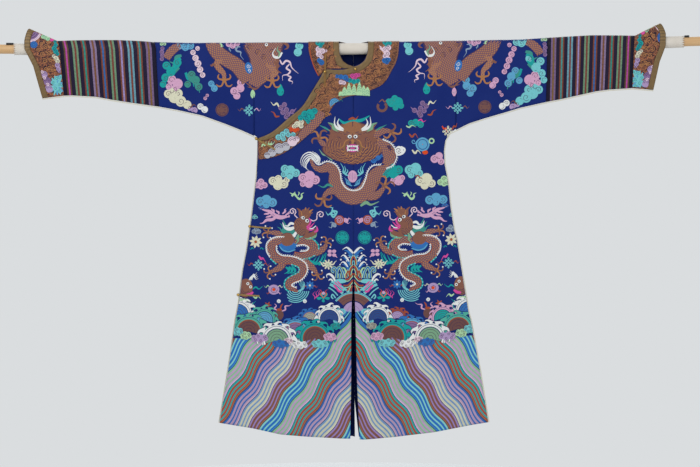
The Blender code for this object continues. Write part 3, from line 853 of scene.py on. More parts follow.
def make_looks(settings):
    """All the finishes, once."""
    if LOOKS:
        return LOOKS
    LOOKS.update(
        silk=silk_look(settings),
        lining=lining_look(),
        floss=flat_silk("floss silk brocade"),
        scales=scale_look(),
        striped=flat_silk("striped silk", 0.45, 0.02, 0.75),
        collar=brocade_ground("dragon scroll brocade", "#17122b", "#7d5137", "#a8704a", 150.0),
        cuff=brocade_ground("cuff scroll brocade", "#17122b", "#6f4634", "#a86a48", 120.0),
        edging=edging_look(),
        wood=wood_look(),
        muslin=muslin_look(),
        piping=plain_look("cream silk cord", "#d9d4c0", 0.6, {"Sheen Weight": 0.3}),
        dull_cord=plain_look("gold thread cord", "#8a6226", 0.55, {"Sheen Weight": 0.1}),
        cord=plain_look("ochre silk cord", "#9a7a3c", 0.6, {"Sheen Weight": 0.3}),
        gilt=plain_look("worn gilt brass", "#c9a35a", 0.28, {"Metallic": 1.0}),
        black=plain_look("matt black paint", "#1a1a1c", 0.6),
    )
    return LOOKS


COLUMNS = np.linspace(0.0, 1.0, 46)


def body_half(name, left, looks):
    """One length of silk from the front hem over the shoulder to the back hem.

    The front's grid, row by row from its hem to the fold, then the back's down to its hem.
    """
    inner = SLIT_LEFT if left else UNDER_FRONT
    front_x, front_drop = half_panel(left, NECK_FRONT, inner, 0.0 if left else 10.0, COLUMNS)
    back_centre = BACK_SLIT_LEFT if left else BACK_SLIT_RIGHT
    back_x, back_drop = half_panel(left, NECK_BACK, back_centre, 6.0, COLUMNS)
    front = cloth(front_x, front_drop, -1, outer=left)
    back = cloth(back_x, back_drop, 1)
    points = np.concatenate([front[::-1], back[1:]])
    uv = np.concatenate([
        np.stack([front_x, front_drop], -1)[::-1], np.stack([back_x, back_drop], -1)[1:]
    ])
    faces = quads(*points.shape[:2])
    if left:
        faces = faces[:, ::-1]
    obj = piece(name, points, faces, [looks["silk"], looks["lining"]], uv)
    wall(obj, SHELL, lining=1, rim=1)
    front_node = "front_left" if left else "front_under"
    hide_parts(front_node, "back_left" if left else "back_right")
    return obj


def flap_edge():
    """The flap's curved upper edge from the underarm to the centre, as x and drop."""
    edge = np.array([row[0] for row in COLLAR[6:]], float)[::-1]
    edge[-1, 1] += 7.0
    return edge.T


def flap(looks):
    """The outer right front: rows slide from the curved edge down to the hem."""
    edge_x, edge_drop = flap_edge()
    top_x = np.linspace(edge_x[0], edge_x[-1], 44)
    top_drop = np.interp(top_x, edge_x, edge_drop)
    across = (top_x - top_x[0]) / (top_x[-1] - top_x[0])
    down = np.linspace(0.0, 1.0, 120)
    side_start = drop_at(SIDE_RIGHT[2][0], SIDE_RIGHT[2][1])

    def x_of(drop):
        side = outer_edge(np.maximum(drop, side_start), False)
        return side + (table(SLIT_RIGHT, drop) - side) * across

    hem_x = x_of(np.full(across.shape, LONGEST_DROP))
    drop = top_drop + (hem_drop(hem_x) - top_drop) * down[:, None]
    x = x_of(drop)
    x = x + (top_x - x[0]) * np.clip(1.0 - down[:, None] / 0.14, 0.0, 1.0)
    points = cloth(x, drop, outer=True)
    faces = quads(*points.shape[:2])
    obj = piece("flap", points, faces, [looks["silk"], looks["lining"]], np.stack([x, drop], -1))
    wall(obj, SHELL, lining=1, rim=1)
    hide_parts("front_flap")
    return obj


def sleeve_grid(near, far, left, stations):
    """Points, x and drop of a closed sleeve: front, underside and back, ring by ring."""
    over = np.linspace(-1.0, 0.0, OVER_ROWS, endpoint=False)
    below = np.linspace(0.0, 1.0, 26)
    half = np.concatenate([over, below])
    share = np.asarray(stations)[:, None]
    x = near(half) + (far(half) - near(half)) * share
    drop = np.where(half < 0.0, -half * FOLD, half * under_drop(x))
    front = cloth(x, drop, -1, edge=SLEEVE_EDGE)
    back = cloth(x, drop, 1, edge=SLEEVE_EDGE)[:, ::-1]
    low_x = x[:, -1:]
    low_z = rod_height(low_x) - under_drop(low_x) - SLEEVE_EDGE
    lowest = np.stack([low_x, np.zeros_like(low_x), low_z], axis=-1)
    ring = np.concatenate([front, lowest, back[:, :-1]], axis=1)
    ring_x = np.concatenate([x, low_x, x[:, ::-1][:, :-1]], axis=1)
    low_drop = under_drop(low_x) + SLEEVE_EDGE
    ring_drop = np.concatenate([drop, low_drop, drop[:, ::-1][:, :-1]], axis=1)
    return ring, ring_x, ring_drop


def sleeve(name, node, seams, start, end, left, looks, stations,
           colours=None, shell=SHELL):
    """A length of sleeve between two seams as a closed tube of rings."""
    points, x, drop = sleeve_grid(start, end, left, stations)
    faces = quads(*points.shape[:2], ring=True)
    if left:
        faces = faces[:, ::-1]
    shades = None if colours is None else np.repeat(colours, points.shape[1], axis=0)
    obj = piece(name, points, faces, looks, np.stack([x, drop], -1), shades)
    wall(obj, shell, lining=1, rim=0)
    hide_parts(node)
    return obj


# Sleeve stripes: three colours of each group, from the body to the cuff, and its width in mm
STRIPE_GROUPS = (
    ("#8a6f98", "#8f6a34", "#8a6f98", 20), ("#8a4a2c", "#45a49e", "#8a4a2c", 17),
    ("#79b4c4", "#8a4630", "#79b4c4", 20), ("#8a5238", "#b3a0dc", "#8a5238", 17),
    ("#7fa680", "#8a4630", "#7fa680", 20), ("#8a4a2c", "#2a74bc", "#8a4a2c", 17),
    ("#9d86aa", "#8a5a34", "#9d86aa", 20), ("#8a4630", "#18a090", "#8a4630", 17),
    ("#7fa680", "#8a4630", "#7fa680", 20), ("#6a5228", "#d452b4", "#6a5228", 17),
)
STRIPE_GROUND = "#120c20"
STRIPE_PIN = "#302040"
STRIPE_FIRST = 0.075
STRIPE_STEP = 0.0955
SLEEVE_RUN = 331.0


def stripe_stations():
    """Places along the striped sleeve, 0 to 1, and the colour of each ring between them."""
    edges, shades = [0.0], []
    for k, (side, middle, other, width) in enumerate(STRIPE_GROUPS):
        centre = STRIPE_FIRST + STRIPE_STEP * k
        half = width / SLEEVE_RUN / 2.0
        third = 2.0 * half / 3.0
        gap = centre - half - edges[-1]
        if k:
            start = edges[-1]
            for pin in (0.28, 0.5, 0.72):
                edges += [start + gap * pin - 0.0016, start + gap * pin + 0.0016]
                shades += [STRIPE_GROUND, STRIPE_PIN]
        edges.append(centre - half)
        shades.append(STRIPE_GROUND)
        for colour in (side, middle, other):
            edges.append(edges[-1] + third)
            shades.append(colour)
    edges.append(1.0)
    shades.append(STRIPE_GROUND)
    return np.array(edges), np.array([linear(code) for code in shades])


def seam_line(seams, which, shift):
    return lambda part: table(seams[which], part) + shift


def collar_strip(name, node, rails, look, side, outer, across, looks, wide):
    """A strip sewn on the cloth: stations along its rails, straight steps between them."""
    rails = np.array(rails, float)
    stations = [rails[0]]
    for a, b in zip(rails[:-1], rails[1:]):
        span = np.abs(b - a).max()
        count = max(OVER_ROWS if a[0, 1] < 0.0 else 1, int(span / 7.0))
        share = np.linspace(0.0, 1.0, count + 1)[1:, None, None]
        stations.extend(a + (b - a) * share)
    grid = np.array(stations)
    count = grid.shape[1] - 1
    where = np.linspace(0.0, count, across * count + 1)
    low = np.minimum(where.astype(int), count - 1)
    share = (where - low)[:, None]
    flat = grid[:, low] * (1.0 - share) + grid[:, low + 1] * share
    points = cloth(flat[..., 0], flat[..., 1], side, level=COLLAR_LEVEL, outer=outer)
    faces = quads(*points.shape[:2])
    if facing_in(points, side):
        faces = faces[:, ::-1]
    obj = piece(name, points, faces, [looks[look]], flat)
    wall(obj, TRIM_SHELL)
    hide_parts(node)
    return obj


def facing_in(points, side):
    """Whether a grid's faces point away from the viewer of that side."""
    one = points[1:, 1:] - points[:-1, :-1]
    two = points[1:, :-1] - points[:-1, 1:]
    normal = np.cross(one, two)[..., 1].sum()
    return normal * side > 0.0


def rounded(rows, steps=4):
    """A smooth line through rows of numbers: cubic spans that turn towards their neighbours."""
    p = np.asarray(rows, float)
    p = np.concatenate([2.0 * p[:1] - p[1:2], p, 2.0 * p[-1:] - p[-2:-1]])
    t = np.linspace(0.0, 1.0, steps, endpoint=False)[None, :, None]
    a, b, c, d = p[:-3, None], p[1:-2, None], p[2:-1, None], p[3:, None]
    q = 0.5 * (2.0 * b + (c - a) * t + (2.0 * a - 5.0 * b + 4.0 * c - d) * t ** 2
               + (3.0 * b - a - 3.0 * c + d) * t ** 3)
    return np.concatenate([q.reshape(-1, p.shape[1]), p[-2:-1]])


def rounded_rails(rows, steps):
    rows = np.asarray(rows, float)
    flat = rounded(rows.reshape(len(rows), -1), steps)
    return flat.reshape(-1, rows.shape[1], 2)


def collar_pieces(looks):
    """Gold ribbon along the neck and flap, and the dark brocade band beside it."""
    straight, bent = np.array(COLLAR[:2], float), rounded_rails(COLLAR[1:], 4)
    lines = np.concatenate([straight[:1], bent])
    edges, seams, outers = lines[:, 0], lines[:, 1], lines[:, 2]
    apart = outers - seams
    apart = apart / np.linalg.norm(apart, axis=1, keepdims=True) * SEAM / 2
    made = [
        collar_strip("collar_ribbon_front", "collar_edging_front", np.stack([edges, seams - apart], 1),
                     "edging", -1, True, 4, looks, 0.03),
        collar_strip("collar_band_front_silk", "collar_band_front", np.stack([seams + apart, outers], 1),
                     "collar", -1, True, 14, looks, 0.1),
    ]
    under = np.array(COLLAR_UNDER, float)
    ribbon = np.concatenate([under[:, :2], np.array([EDGING_UNDER_END], float)])
    made.append(collar_strip("collar_ribbon_under", "collar_edging_under", ribbon, "edging", -1, False, 4,
                             looks, 0.03))
    made.append(collar_strip("collar_band_under_silk", "collar_band_under", under[:, 1:], "collar", -1, False, 7,
                             looks, 0.1))
    for name, sign in (("left", 1.0), ("right", -1.0)):
        made.append(back_collar(f"collar_ribbon_back_{name}", f"collar_edging_back_{name}", NECK_BACK,
                                BACK_SEAM, -0.6, sign, "edging", looks))
        made.append(back_collar(f"collar_band_back_{name}_silk", f"collar_band_back_{name}", BACK_SEAM,
                                BACK_OUTER, 0.0, sign, "collar", looks))
    return made


def back_collar(name, node, inner, outer, trim, sign, look, looks):
    """Half of a ring on the back, row by row from the shoulder fold to the centre."""
    last = outer[-1][0] - 0.5
    rows = np.concatenate([np.linspace(FOLD, 0.0, 2 * OVER_ROWS), np.arange(3.0, last, 3.0)])
    rows = np.append(rows[rows < last - 1.0], last)
    near = np.maximum(table(inner, rows), 0.1)
    far = np.maximum(table(outer, rows) + trim, near + 1.0)
    x = sign * (near[:, None] + (far - near)[:, None] * np.linspace(0.0, 1.0, 12))
    drop = rows[:, None] + 0.0 * x
    points = cloth(x, drop, 1, level=COLLAR_LEVEL + 0.3)
    faces = quads(*points.shape[:2])
    if facing_in(points, 1):
        faces = faces[:, ::-1]
    obj = piece(name, points, faces, [looks[look]], np.stack([x, drop], -1))
    wall(obj, TRIM_SHELL)
    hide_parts(node)
    return obj


def loop_cord(name, start, end, level, bend, look):
    """A silk cord sewn down as a loop: up one strand, round the ball button, and back.

    Its line is two straights a cord apart, most of a circle round the button, and a half circle at
    the sewn end. Each ring of the tube is a circle across that line, flattened against the cloth.
    """
    a, b = np.array(start, float), np.array(end, float)
    run = (b - a) / np.linalg.norm(b - a)
    length = np.linalg.norm(b - a)
    wide = np.linspace(0.3, 2.0 * math.pi - 0.3, 24)
    small = np.linspace(-0.5 * math.pi, 0.5 * math.pi, 7)
    first = BUTTON_INSET + bend
    s = np.concatenate([bend * np.cos(wide) + BUTTON_INSET, np.linspace(first, length, 10)[1:-1],
                        length + CORD_RADIUS * np.cos(small), np.linspace(length, first, 10)[1:-1]])
    w = np.concatenate([bend * np.sin(wide), np.full(8, -CORD_RADIUS), CORD_RADIUS * np.sin(small),
                        np.full(8, CORD_RADIUS)])
    ds, dw = np.roll(s, -1) - np.roll(s, 1), np.roll(w, -1) - np.roll(w, 1)
    long = np.hypot(ds, dw)
    turn = np.arange(10) * 2.0 * math.pi / 10
    out = CORD_RADIUS * np.cos(turn)
    s = s[:, None] - (dw / long)[:, None] * out
    w = w[:, None] + (ds / long)[:, None] * out
    x, drop = a[0] + run[0] * s - run[1] * w, a[1] + run[1] * s + run[0] * w
    points = cloth(x, drop, -1, level + 0.8 * CORD_RADIUS * np.sin(turn) + 0.0 * x, True, SIDE_EDGE)
    count = points.shape[0] * points.shape[1]
    faces = quads(points.shape[0] + 1, points.shape[1], ring=True) % count
    obj = piece(f"cord_{name}", points, faces, [look])
    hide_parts(f"loop_{name}")
    return obj


CORD_RADIUS = 1.35
LOOP_ROUND = 4.0
BUTTON_INSET = 3.0

# Each loop: from x, drop, to x, drop, its height over the cloth, and how wide its end bends
LOOPS = {
    "collar_corner": ((-96, 18), (-99, 128), 4.2, CORD_RADIUS),
    "underarm": ((-338, 306), (-271, 344), 4.0, LOOP_ROUND),
    "side": ((-361, 609), (-287, 617), 2.6, LOOP_ROUND),
    "lower_side": ((-401, 845), (-326, 849), 2.6, LOOP_ROUND),
}


def padding(looks):
    """The muslin sleeve round the rod: a ring whose radius swells a little, with pinked ends.

    Each end ring is pushed in and out along the rod by a zigzag of its angle.
    """
    around = 96
    turn = np.arange(around) * 2.0 * math.pi / around
    share = np.linspace(0.0, 1.0, 220)[:, None]
    teeth = 4.0 * (2.0 * np.abs((turn * 16.0 / math.pi) % 2.0 - 1.0) - 1.0)
    low, high = PAD_ENDS
    x = low + (high - low) * share
    near_end = np.clip(1.0 - share * 60.0, 0.0, 1.0) - np.clip(1.0 - (1.0 - share) * 60.0, 0.0, 1.0)
    x = x + np.abs(near_end) * teeth + 4.0 * near_end
    bump = 0.25 * np.sin(x / 37.0 + 2.0 * turn) + 0.2 * np.sin(x / 23.0 - 3.0 * turn)
    radius = PAD_RADIUS - 0.9 + bump
    y = radius * np.cos(turn)
    z = rod_height(x) + radius * np.sin(turn)
    points = np.stack([x, y, z], -1)
    faces = quads(*points.shape[:2], ring=True)[:, ::-1]
    uv = np.stack([x, radius * turn], -1)
    obj = piece("padding_muslin", points, faces, [looks["muslin"]], uv)
    wall(obj, 1.0)
    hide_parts("rod_padding")
    return obj


# The brocade is drawn on a chart of CHART mm squares. Its middle column is the robe's centre
# and the rod's axis lies on row ROD_ROW.
CHART = 3.45
MIDDLE = 353.5
ROD_ROW = 48.87
BROCADE_LIFT = SHELL / 2 + 0.1
LAYER = 0.09
PADDED = 0.22

SILKS = {
    "gold": "#8a5b4a", "bright": "#b27a4c", "brown": "#6f4b46", "plum": "#4c3450",
    "rust": "#a9502f",
    "orange": "#e04e14", "white": "#eef0ee", "cream": "#e2e0c4", "mint": "#b4deac",
    "sage": "#7fab88",
    "aqua": "#79cdd2", "teal": "#14a3a0", "sea": "#3d9488", "sky": "#5fa8cf", "blue": "#2f72bb",
    "deep": "#2b4d8c", "grey": "#8fa3b8", "pink": "#dba9c9", "pale": "#ead0dd",
    "magenta": "#de4fa0",
    "mauve": "#8c6f9c", "lilac": "#b59bc6", "navy": "#1b2a66", "black": "#171428",
    "stone": "#a9aa9c",
    "olive": "#8a6f3e", "shadow": "#4b3350", "cocoa": "#7a534c", "jade": "#54b3a0",
    "silver": "#bfbfc8", "tan": "#9c6a4a",
}


class Chart:
    """Shapes of woven silk, each a grid of columns and rows with a height, a colour and a finish."""

    def __init__(self):
        self.grids = []

    def grid(self, x, y, colour, layer, height=0.0, along=None):
        """One shape; along, where given, is its own length and width for woven scales."""
        x, y, height = np.broadcast_arrays(x, y, height)
        self.grids.append((x, y, height * PADDED + layer * LAYER, colour, along))

    def ribbon(self, rows, colour, layer=1, steps=4, across=3, scales=False):
        """A band along a smooth line; rows are column, row and width. Its middle stands proud."""
        line = rounded(rows, steps)
        run = np.gradient(line[:, :2], axis=0)
        run /= np.maximum(np.linalg.norm(run, axis=1, keepdims=True), 1e-6)
        side = np.stack([-run[:, 1], run[:, 0]], 1)
        u = np.linspace(-0.5, 0.5, across)
        x = line[:, :1] + side[:, :1] * line[:, 2:] * u
        y = line[:, 1:2] + side[:, 1:] * line[:, 2:] * u
        gone = np.concatenate(
            [[0.0], np.cumsum(np.linalg.norm(np.diff(line[:, :2], axis=0), axis=1))]
        )
        own = np.stack(np.broadcast_arrays(gone[:, None], line[:, 2:] * u), -1) if scales else None
        self.grid(
            x, y, colour, layer, (1.0 - 4.0 * u ** 2) * np.clip(line[:, 2:] / 6.0, 0.3, 1.0), own
        )

    def disc(self, x, y, rx, colour, layer=1, ry=None, turn=0.0, size=5):
        """A filled oval: a square grid drawn into a circle, so that it has no pole."""
        ry = rx if ry is None else ry
        u, v = np.meshgrid(np.linspace(-1, 1, size), np.linspace(-1, 1, size))
        a = u * np.sqrt(1.0 - v ** 2 / 2.0)
        b = v * np.sqrt(1.0 - u ** 2 / 2.0)
        c, s = math.cos(math.radians(turn)), math.sin(math.radians(turn))
        height = (1.0 - a ** 2 - b ** 2) * min(rx / 6.0, 1.0)
        self.grid(x + rx * a * c - ry * b * s, y + rx * a * s + ry * b * c, colour, layer, height)

    def sector(self, x, y, inner, outer, start, end, colour, layer=1):
        """Part of a ring between two angles, in degrees, clockwise from the right."""
        count = max(3, int(abs(end - start) * outer / 90.0) + 2)
        angle = np.radians(np.linspace(start, end, count))[:, None]
        radius = np.linspace(max(inner, 0.05), outer, 3 if outer - inner > 3 else 2)
        self.grid(x + radius * np.cos(angle), y + radius * np.sin(angle), colour, layer)

    def coil(self, x, y, radius, colour, layer=3, turns=1.4, start=0.0, width=0.45, hand=1):
        """A thin spiral line: its radius shrinks evenly as its angle turns."""
        t = np.linspace(0.0, 1.0, max(6, int(turns * 8)))
        angle = math.radians(start) + hand * 2.0 * math.pi * turns * t
        r = radius * (1.0 - 0.85 * t)
        rows = np.stack([x + r * np.cos(angle), y + r * np.sin(angle), width + 0.0 * t], 1)
        self.ribbon(rows, colour, layer, steps=1, across=2)

    def lick(self, rows, width, colour, layer=1):
        """A flame or ribbon end: a smooth line that swells and runs out to a point."""
        rows = np.asarray(rows, float)
        share = np.linspace(0.0, 1.0, len(rows))
        swell = width * (0.35 + 0.65 * np.sin(np.pi * np.clip(share * 1.15 + 0.12, 0.0, 1.0)))
        swell[-1] = 0.15 * width
        self.ribbon(np.column_stack([rows, swell]), colour, layer)

    def cloud(self, x, y, size, colour, turn=0.0, line="plum", lobes=None, hand=1):
        """A cloud head: round lobes, each with its coil."""
        lobes = lobes or ((0, -0.42, 0.5), (-0.62, 0.12, 0.46), (0.62, 0.12, 0.46), (0, 0.35, 0.42))
        c, s = math.cos(math.radians(turn)), math.sin(math.radians(turn))
        for k, (dx, dy, r) in enumerate(lobes):
            cx, cy = x + size * (dx * hand * c - dy * s), y + size * (dx * hand * s + dy * c)
            self.disc(cx, cy, r * size * 1.12, colour, 1 + k % 2)
            self.coil(
                cx, cy, r * size * 0.72, line, 4, 1.3, 90.0 * k + turn, 0.36, 1 if k % 2 else -1
            )

    def chain(self, rows, colour, line="plum"):
        """Lobes in a row; rows are column, row and radius, each lobe with its coil."""
        for k, (x, y, r) in enumerate(rows):
            self.disc(x, y, r * 1.2, "navy", 1)
            self.disc(x, y, r * 1.12, colour, 2 + k % 2)
            self.coil(x, y, r * 0.8, line, 4, 1.25, 70.0 * k, 0.42, 1 if k % 2 else -1)

    def lay(self, name, side, mirror, look_list, base=BROCADE_LIFT, limit=None, outer=None):
        """Lays the chart's grids on one side of the cloth and makes them one mesh."""
        xs, ds, hs, faces, shades, kinds, uvs = [], [], [], [], [], [], []
        first = 0
        for column, row, height, colour, along in self.grids:
            x = (column - MIDDLE) * CHART
            drop = (row - ROD_ROW) * CHART + rod_height(x)
            arch = np.arcsin(np.clip(-drop / fold_height(x), 0.0, 1.0)) * 2.0 / math.pi
            drop = np.where(drop < 0.0, FOLD * arch, drop)
            rows, columns = x.shape
            faces.append(quads(rows, columns) + first)
            first += x.size
            xs.append(x.ravel() * (-1.0 if mirror else 1.0))
            ds.append(drop.ravel())
            hs.append(height.ravel())
            count = (rows - 1) * (columns - 1)
            shades.append(np.tile(linear(SILKS[colour]), (count, 1)))
            kinds.append(np.full(count, 0 if along is None else 1))
            own = np.stack([x, drop], -1) if along is None else along * CHART
            uvs.append(own.reshape(-1, 2))
        x, drop, height = np.concatenate(xs), np.concatenate(ds), np.concatenate(hs)
        faces, shades, kinds = np.concatenate(faces), np.concatenate(shades), np.concatenate(kinds)
        uv = np.concatenate(uvs)
        x, drop = (limit or on_body)(x, drop, side)
        edge = np.where((np.abs(x) > 348.0) & (drop < 322.0), SLEEVE_EDGE, SIDE_EDGE)
        if outer is None:
            outer = (side < 0) & ((x > 0) | (drop > np.interp(x, *flap_edge())))
        points = cloth(x, drop, side, base + height, outer, edge)
        flat = np.stack([x, drop], -1)[faces]
        turned = 0.5 * np.cross(flat[:, 2] - flat[:, 0], flat[:, 3] - flat[:, 1])
        keep = np.abs(turned) > 0.02
        flip = turned * side < 0.0
        faces[flip] = faces[flip][:, ::-1]
        faces, shades, kinds = faces[keep], shades[keep], kinds[keep]
        used, faces = np.unique(faces, return_inverse=True)
        faces = faces.reshape(-1, 4)
        obj = piece(name, points[used], faces, look_list, uv[used], shades, kinds)
        return obj


def on_body(x, drop, side):
    """Keeps a shape within the cloth: inside the side edge, the sleeve's underside, slit and hem."""
    sign = np.where(x < 0.0, -1.0, 1.0)
    drop = np.maximum(drop, FOLD + 0.7)
    seam = np.where(x < 0.0, -SIDE_RIGHT[0][0], SIDE_LEFT[0][0])
    reach = np.where(x < 0.0, -outer_edge(drop, False), outer_edge(drop, True))
    below = np.where(x < 0.0, SIDE_RIGHT[0][1], SIDE_LEFT[0][1])
    size = np.abs(x)
    skirt = drop > below + 25.0
    size = np.where(
        drop > below, np.where(skirt | (size < seam), np.minimum(size, reach - 0.8), size), size
    )
    x = sign * size
    under = np.where((size > seam) & ~skirt, under_drop(x) - 1.0, np.inf)
    drop = np.minimum(drop, under)
    slit = np.where(x < 0.0, -table(SLIT_RIGHT, drop), table(SLIT_LEFT, drop))
    x = sign * np.where(drop > SLIT_RIGHT[0][0], np.maximum(size, slit + 0.4), size)
    return x, np.minimum(drop, hem_drop(x) - (7.0 if side > 0 else 1.0))


def wave(chart, x, y, r, body, rim, crest, start=160.0, end=380.0, curls=7, line="shadow", base=0):
    """A rolling wave: a fan of water, a broad rim with a dark line, and curling crests round it."""
    chart.sector(x, y, 0.1, r * 0.76, start + 4.0, end - 4.0, body, base + 1)
    for k in range(3):
        chart.sector(
            x, y, r * (0.2 + 0.19 * k), r * (0.225 + 0.19 * k), start + 10, end - 10, line, base + 2
        )
    inner = "rust" if body in ("brown", "mauve", "stone") else "navy"
    chart.sector(x, y, r * 0.72, r * 0.775, start, end, inner, base + 2)
    chart.sector(x, y, r * 0.775, r * 1.0, start, end, rim, base + 2)
    chart.sector(x, y, r * 0.9, r * 0.93, start, end, "navy", base + 3)
    crests(chart, x, y, r, start + 10.0, end - 10.0, curls, crest, base)


# A crest: how far out, how far round, and its width
CREST = (
    (0.0, -0.3, 0.8), (0.5, -0.05, 0.46), (0.95, 0.2, 0.3), (1.08, 0.5, 0.18), (0.9, 0.68, 0.05)
)


def crests(chart, x, y, r, start, end, curls, colour, base=0, size=0.24):
    """Hooks of foam: each leaves the rim, leans over to its side and curls back."""
    for k in range(curls):
        share = (k + 0.5) / curls
        angle = math.radians(start + (end - start) * share)
        hand = -1.0 if share < 0.5 else 1.0
        tall = r * size * (1.0 + 0.2 * math.sin(5.0 * k + r))
        for grow, shade, layer in ((1.35, "navy", 1), (1.0, colour, 2)):
            rows = []
            for lift, turn, width in CREST:
                a = angle + hand * 0.42 * turn
                out = r + tall * lift
                rows.append(
                    (x + out * math.cos(a), y + out * math.sin(a), tall * width * 2.0 * grow)
                )
            chart.ribbon(rows, shade, base + layer, 3)


def puff(chart, x, y, rx, ry, colour, line="plum", count=6, base=12):
    """A low cloud bank: overlapping lobes along an oval, each with its coil."""
    chart.disc(x, y, rx * 0.85, colour, base, ry * 0.8)
    for k in range(count):
        angle = math.pi * 2.0 * (k + 0.3) / count
        cx, cy = x + rx * 0.62 * math.cos(angle), y + ry * 0.5 * math.sin(angle)
        r = 0.42 * min(rx, ry * 1.4)
        chart.disc(cx, cy, r, colour, base + 1)
        chart.coil(cx, cy, r * 0.68, line, base + 4, 1.2, 60.0 * k, 0.34, 1 if k % 2 else -1)


def roundel(chart, x, y, r, colour, line):
    """A round longevity medal: a disc, its rim, and bars mirrored about the middle."""
    chart.disc(x, y, r, colour, 1, size=7)
    chart.sector(x, y, r * 0.84, r * 0.92, 0, 360, line, 3)
    for k in (-1, 0, 1):
        wide = 0.62 if k == 0 else 0.46
        chart.ribbon(
            [(x - r * wide, y + k * r * 0.36, 0.5), (x + r * wide, y + k * r * 0.36, 0.5)], line, 3,
            2, 2
        )
    for k in (-1, 1):
        chart.coil(x + k * r * 0.36, y - r * 0.52, r * 0.22, line, 3, 1.0, 0.0, 0.4, k)
        chart.coil(x + k * r * 0.36, y + r * 0.55, r * 0.22, line, 3, 1.0, 180.0, 0.4, k)
    chart.ribbon([(x, y - r * 0.7, 0.5), (x, y + r * 0.7, 0.5)], line, 3, 2, 2)


def pearl(chart, x, y, r, body, line):
    """A pearl: a disc with a long spiral."""
    chart.disc(x, y, r, body, 1, size=6)
    chart.coil(x, y, r * 0.8, line, 3, 2.0, 200.0, r * 0.17)


def knot(chart, x, y, r, colour, left=None, right=None):
    """The endless knot: bands crossed on the slant, rounded where they turn back, and two ribbons."""
    step = r * 0.3
    for k in (-1, 0, 1):
        for hand in (-1, 1):
            a = (x + (k - 1.5) * step * hand, y + (-k - 1.5) * step)
            b = (x + (k + 1.5) * step * hand, y + (-k + 1.5) * step)
            chart.ribbon([(*a, r * 0.15), (*b, r * 0.15)], colour, 2, 2, 2)
    for dx, dy in (
        (0, -1), (1, -0.02), (0, 1), (-1, 0.02), (-0.58, -0.58), (0.58, -0.58), (-0.58, 0.58),
        (0.58, 0.58)
    ):
        chart.sector(x + dx * r * 0.84, y + dy * r * 0.84, r * 0.07, r * 0.2, 0, 360, colour, 2)
    streamers(chart, x, y, r, left, right)


def streamers(chart, x, y, r, left, right):
    """Ribbons from both sides of an emblem, each an S that runs out to a point."""
    for hand, colour in ((-1, left), (1, right)):
        if colour:
            chart.lick([(x + hand * r * 0.9, y), (x + hand * r * 1.35, y - r * 0.35), (x + hand * r * 1.7, y + r * 0.1),
                        (x + hand * r * 2.1, y - r * 0.3)], 0.9, colour, 1)


def flower(chart, x, y, r, colour, heart, petals=8, turn=0.0):
    """A star flower: pointed petals round a heart."""
    for k in range(petals):
        angle = math.radians(turn + 360.0 * k / petals)
        c, s = math.cos(angle), math.sin(angle)
        chart.ribbon([(x + c * r * 0.15, y + s * r * 0.15, r * 0.1), (x + c * r * 0.6, y + s * r * 0.6, r * 0.42),
                      (x + c * r, y + s * r, r * 0.04)], colour, 1 + k % 2, 3)
    chart.disc(x, y, r * 0.22, heart, 4)


def fire(chart, x, y, size, colour, turn=0.0, tongues=3, width=1.1):
    """Flames: S-shaped tongues from one root, spread to both sides."""
    for k in range(tongues):
        spread = (k - (tongues - 1) / 2.0) * 0.45
        angle = math.radians(turn) + spread
        c, s = math.cos(angle), math.sin(angle)
        long = size * (1.0 - 0.2 * abs(k - (tongues - 1) / 2.0))
        bend = 0.22 * long * (1 if k % 2 else -1)
        chart.lick([(x, y), (x + c * long * 0.35 - s * bend, y + s * long * 0.35 + c * bend),
                    (x + c * long * 0.68 + s * bend, y + s * long * 0.68 - c * bend),
                    (x + c * long, y + s * long)], width, colour, 1 + k % 2)


# A toe: share of its reach, lean in degrees, width as a share of the paw
TOE = (
    (0.0, 0.0, 0.34), (0.38, -13.0, 0.28), (0.68, -12.0, 0.24), (0.9, 4.0, 0.25), (0.98, 24.0, 0.1)
)


def claw(chart, rows, x, y, size, colour="gold", tips="white", toes=4, aim=0.0, spread=200.0):
    """A leg along a line, then hooked toes fanned round the paw, each with a pale nail.

    A toe leaves the paw, bends one way at its knuckle and hooks back the other way.
    """
    if rows:
        rows = list(rows) + [(x, y, size * 0.5)]
        chart.ribbon([(a, b, w * 1.16) for a, b, w in rows], "shadow", 2, 4, 3)
        chart.ribbon(rows, colour, 3, 4, 4, scales=True)
    chart.disc(x, y, size * 0.36, colour, 4)
    for k in range(toes):
        hand = -1.0 if k < toes / 2 else 1.0
        turn = spread * (k / (toes - 1.0) - 0.5)
        reach = size * (1.45 if k in (1, 2) else 1.25)
        path = []
        for share, lean, wide in TOE:
            angle = math.radians(aim + turn + hand * lean)
            path.append(
                (
                    x + reach * share * math.cos(angle), y + reach * share * math.sin(angle),
                    size * wide
                )
            )
        chart.ribbon(path, "bright" if k % 2 else colour, 4, 3, 4)
        if tips:
            chart.disc(path[-1][0], path[-1][1], size * 0.17, tips, 5, size=3)


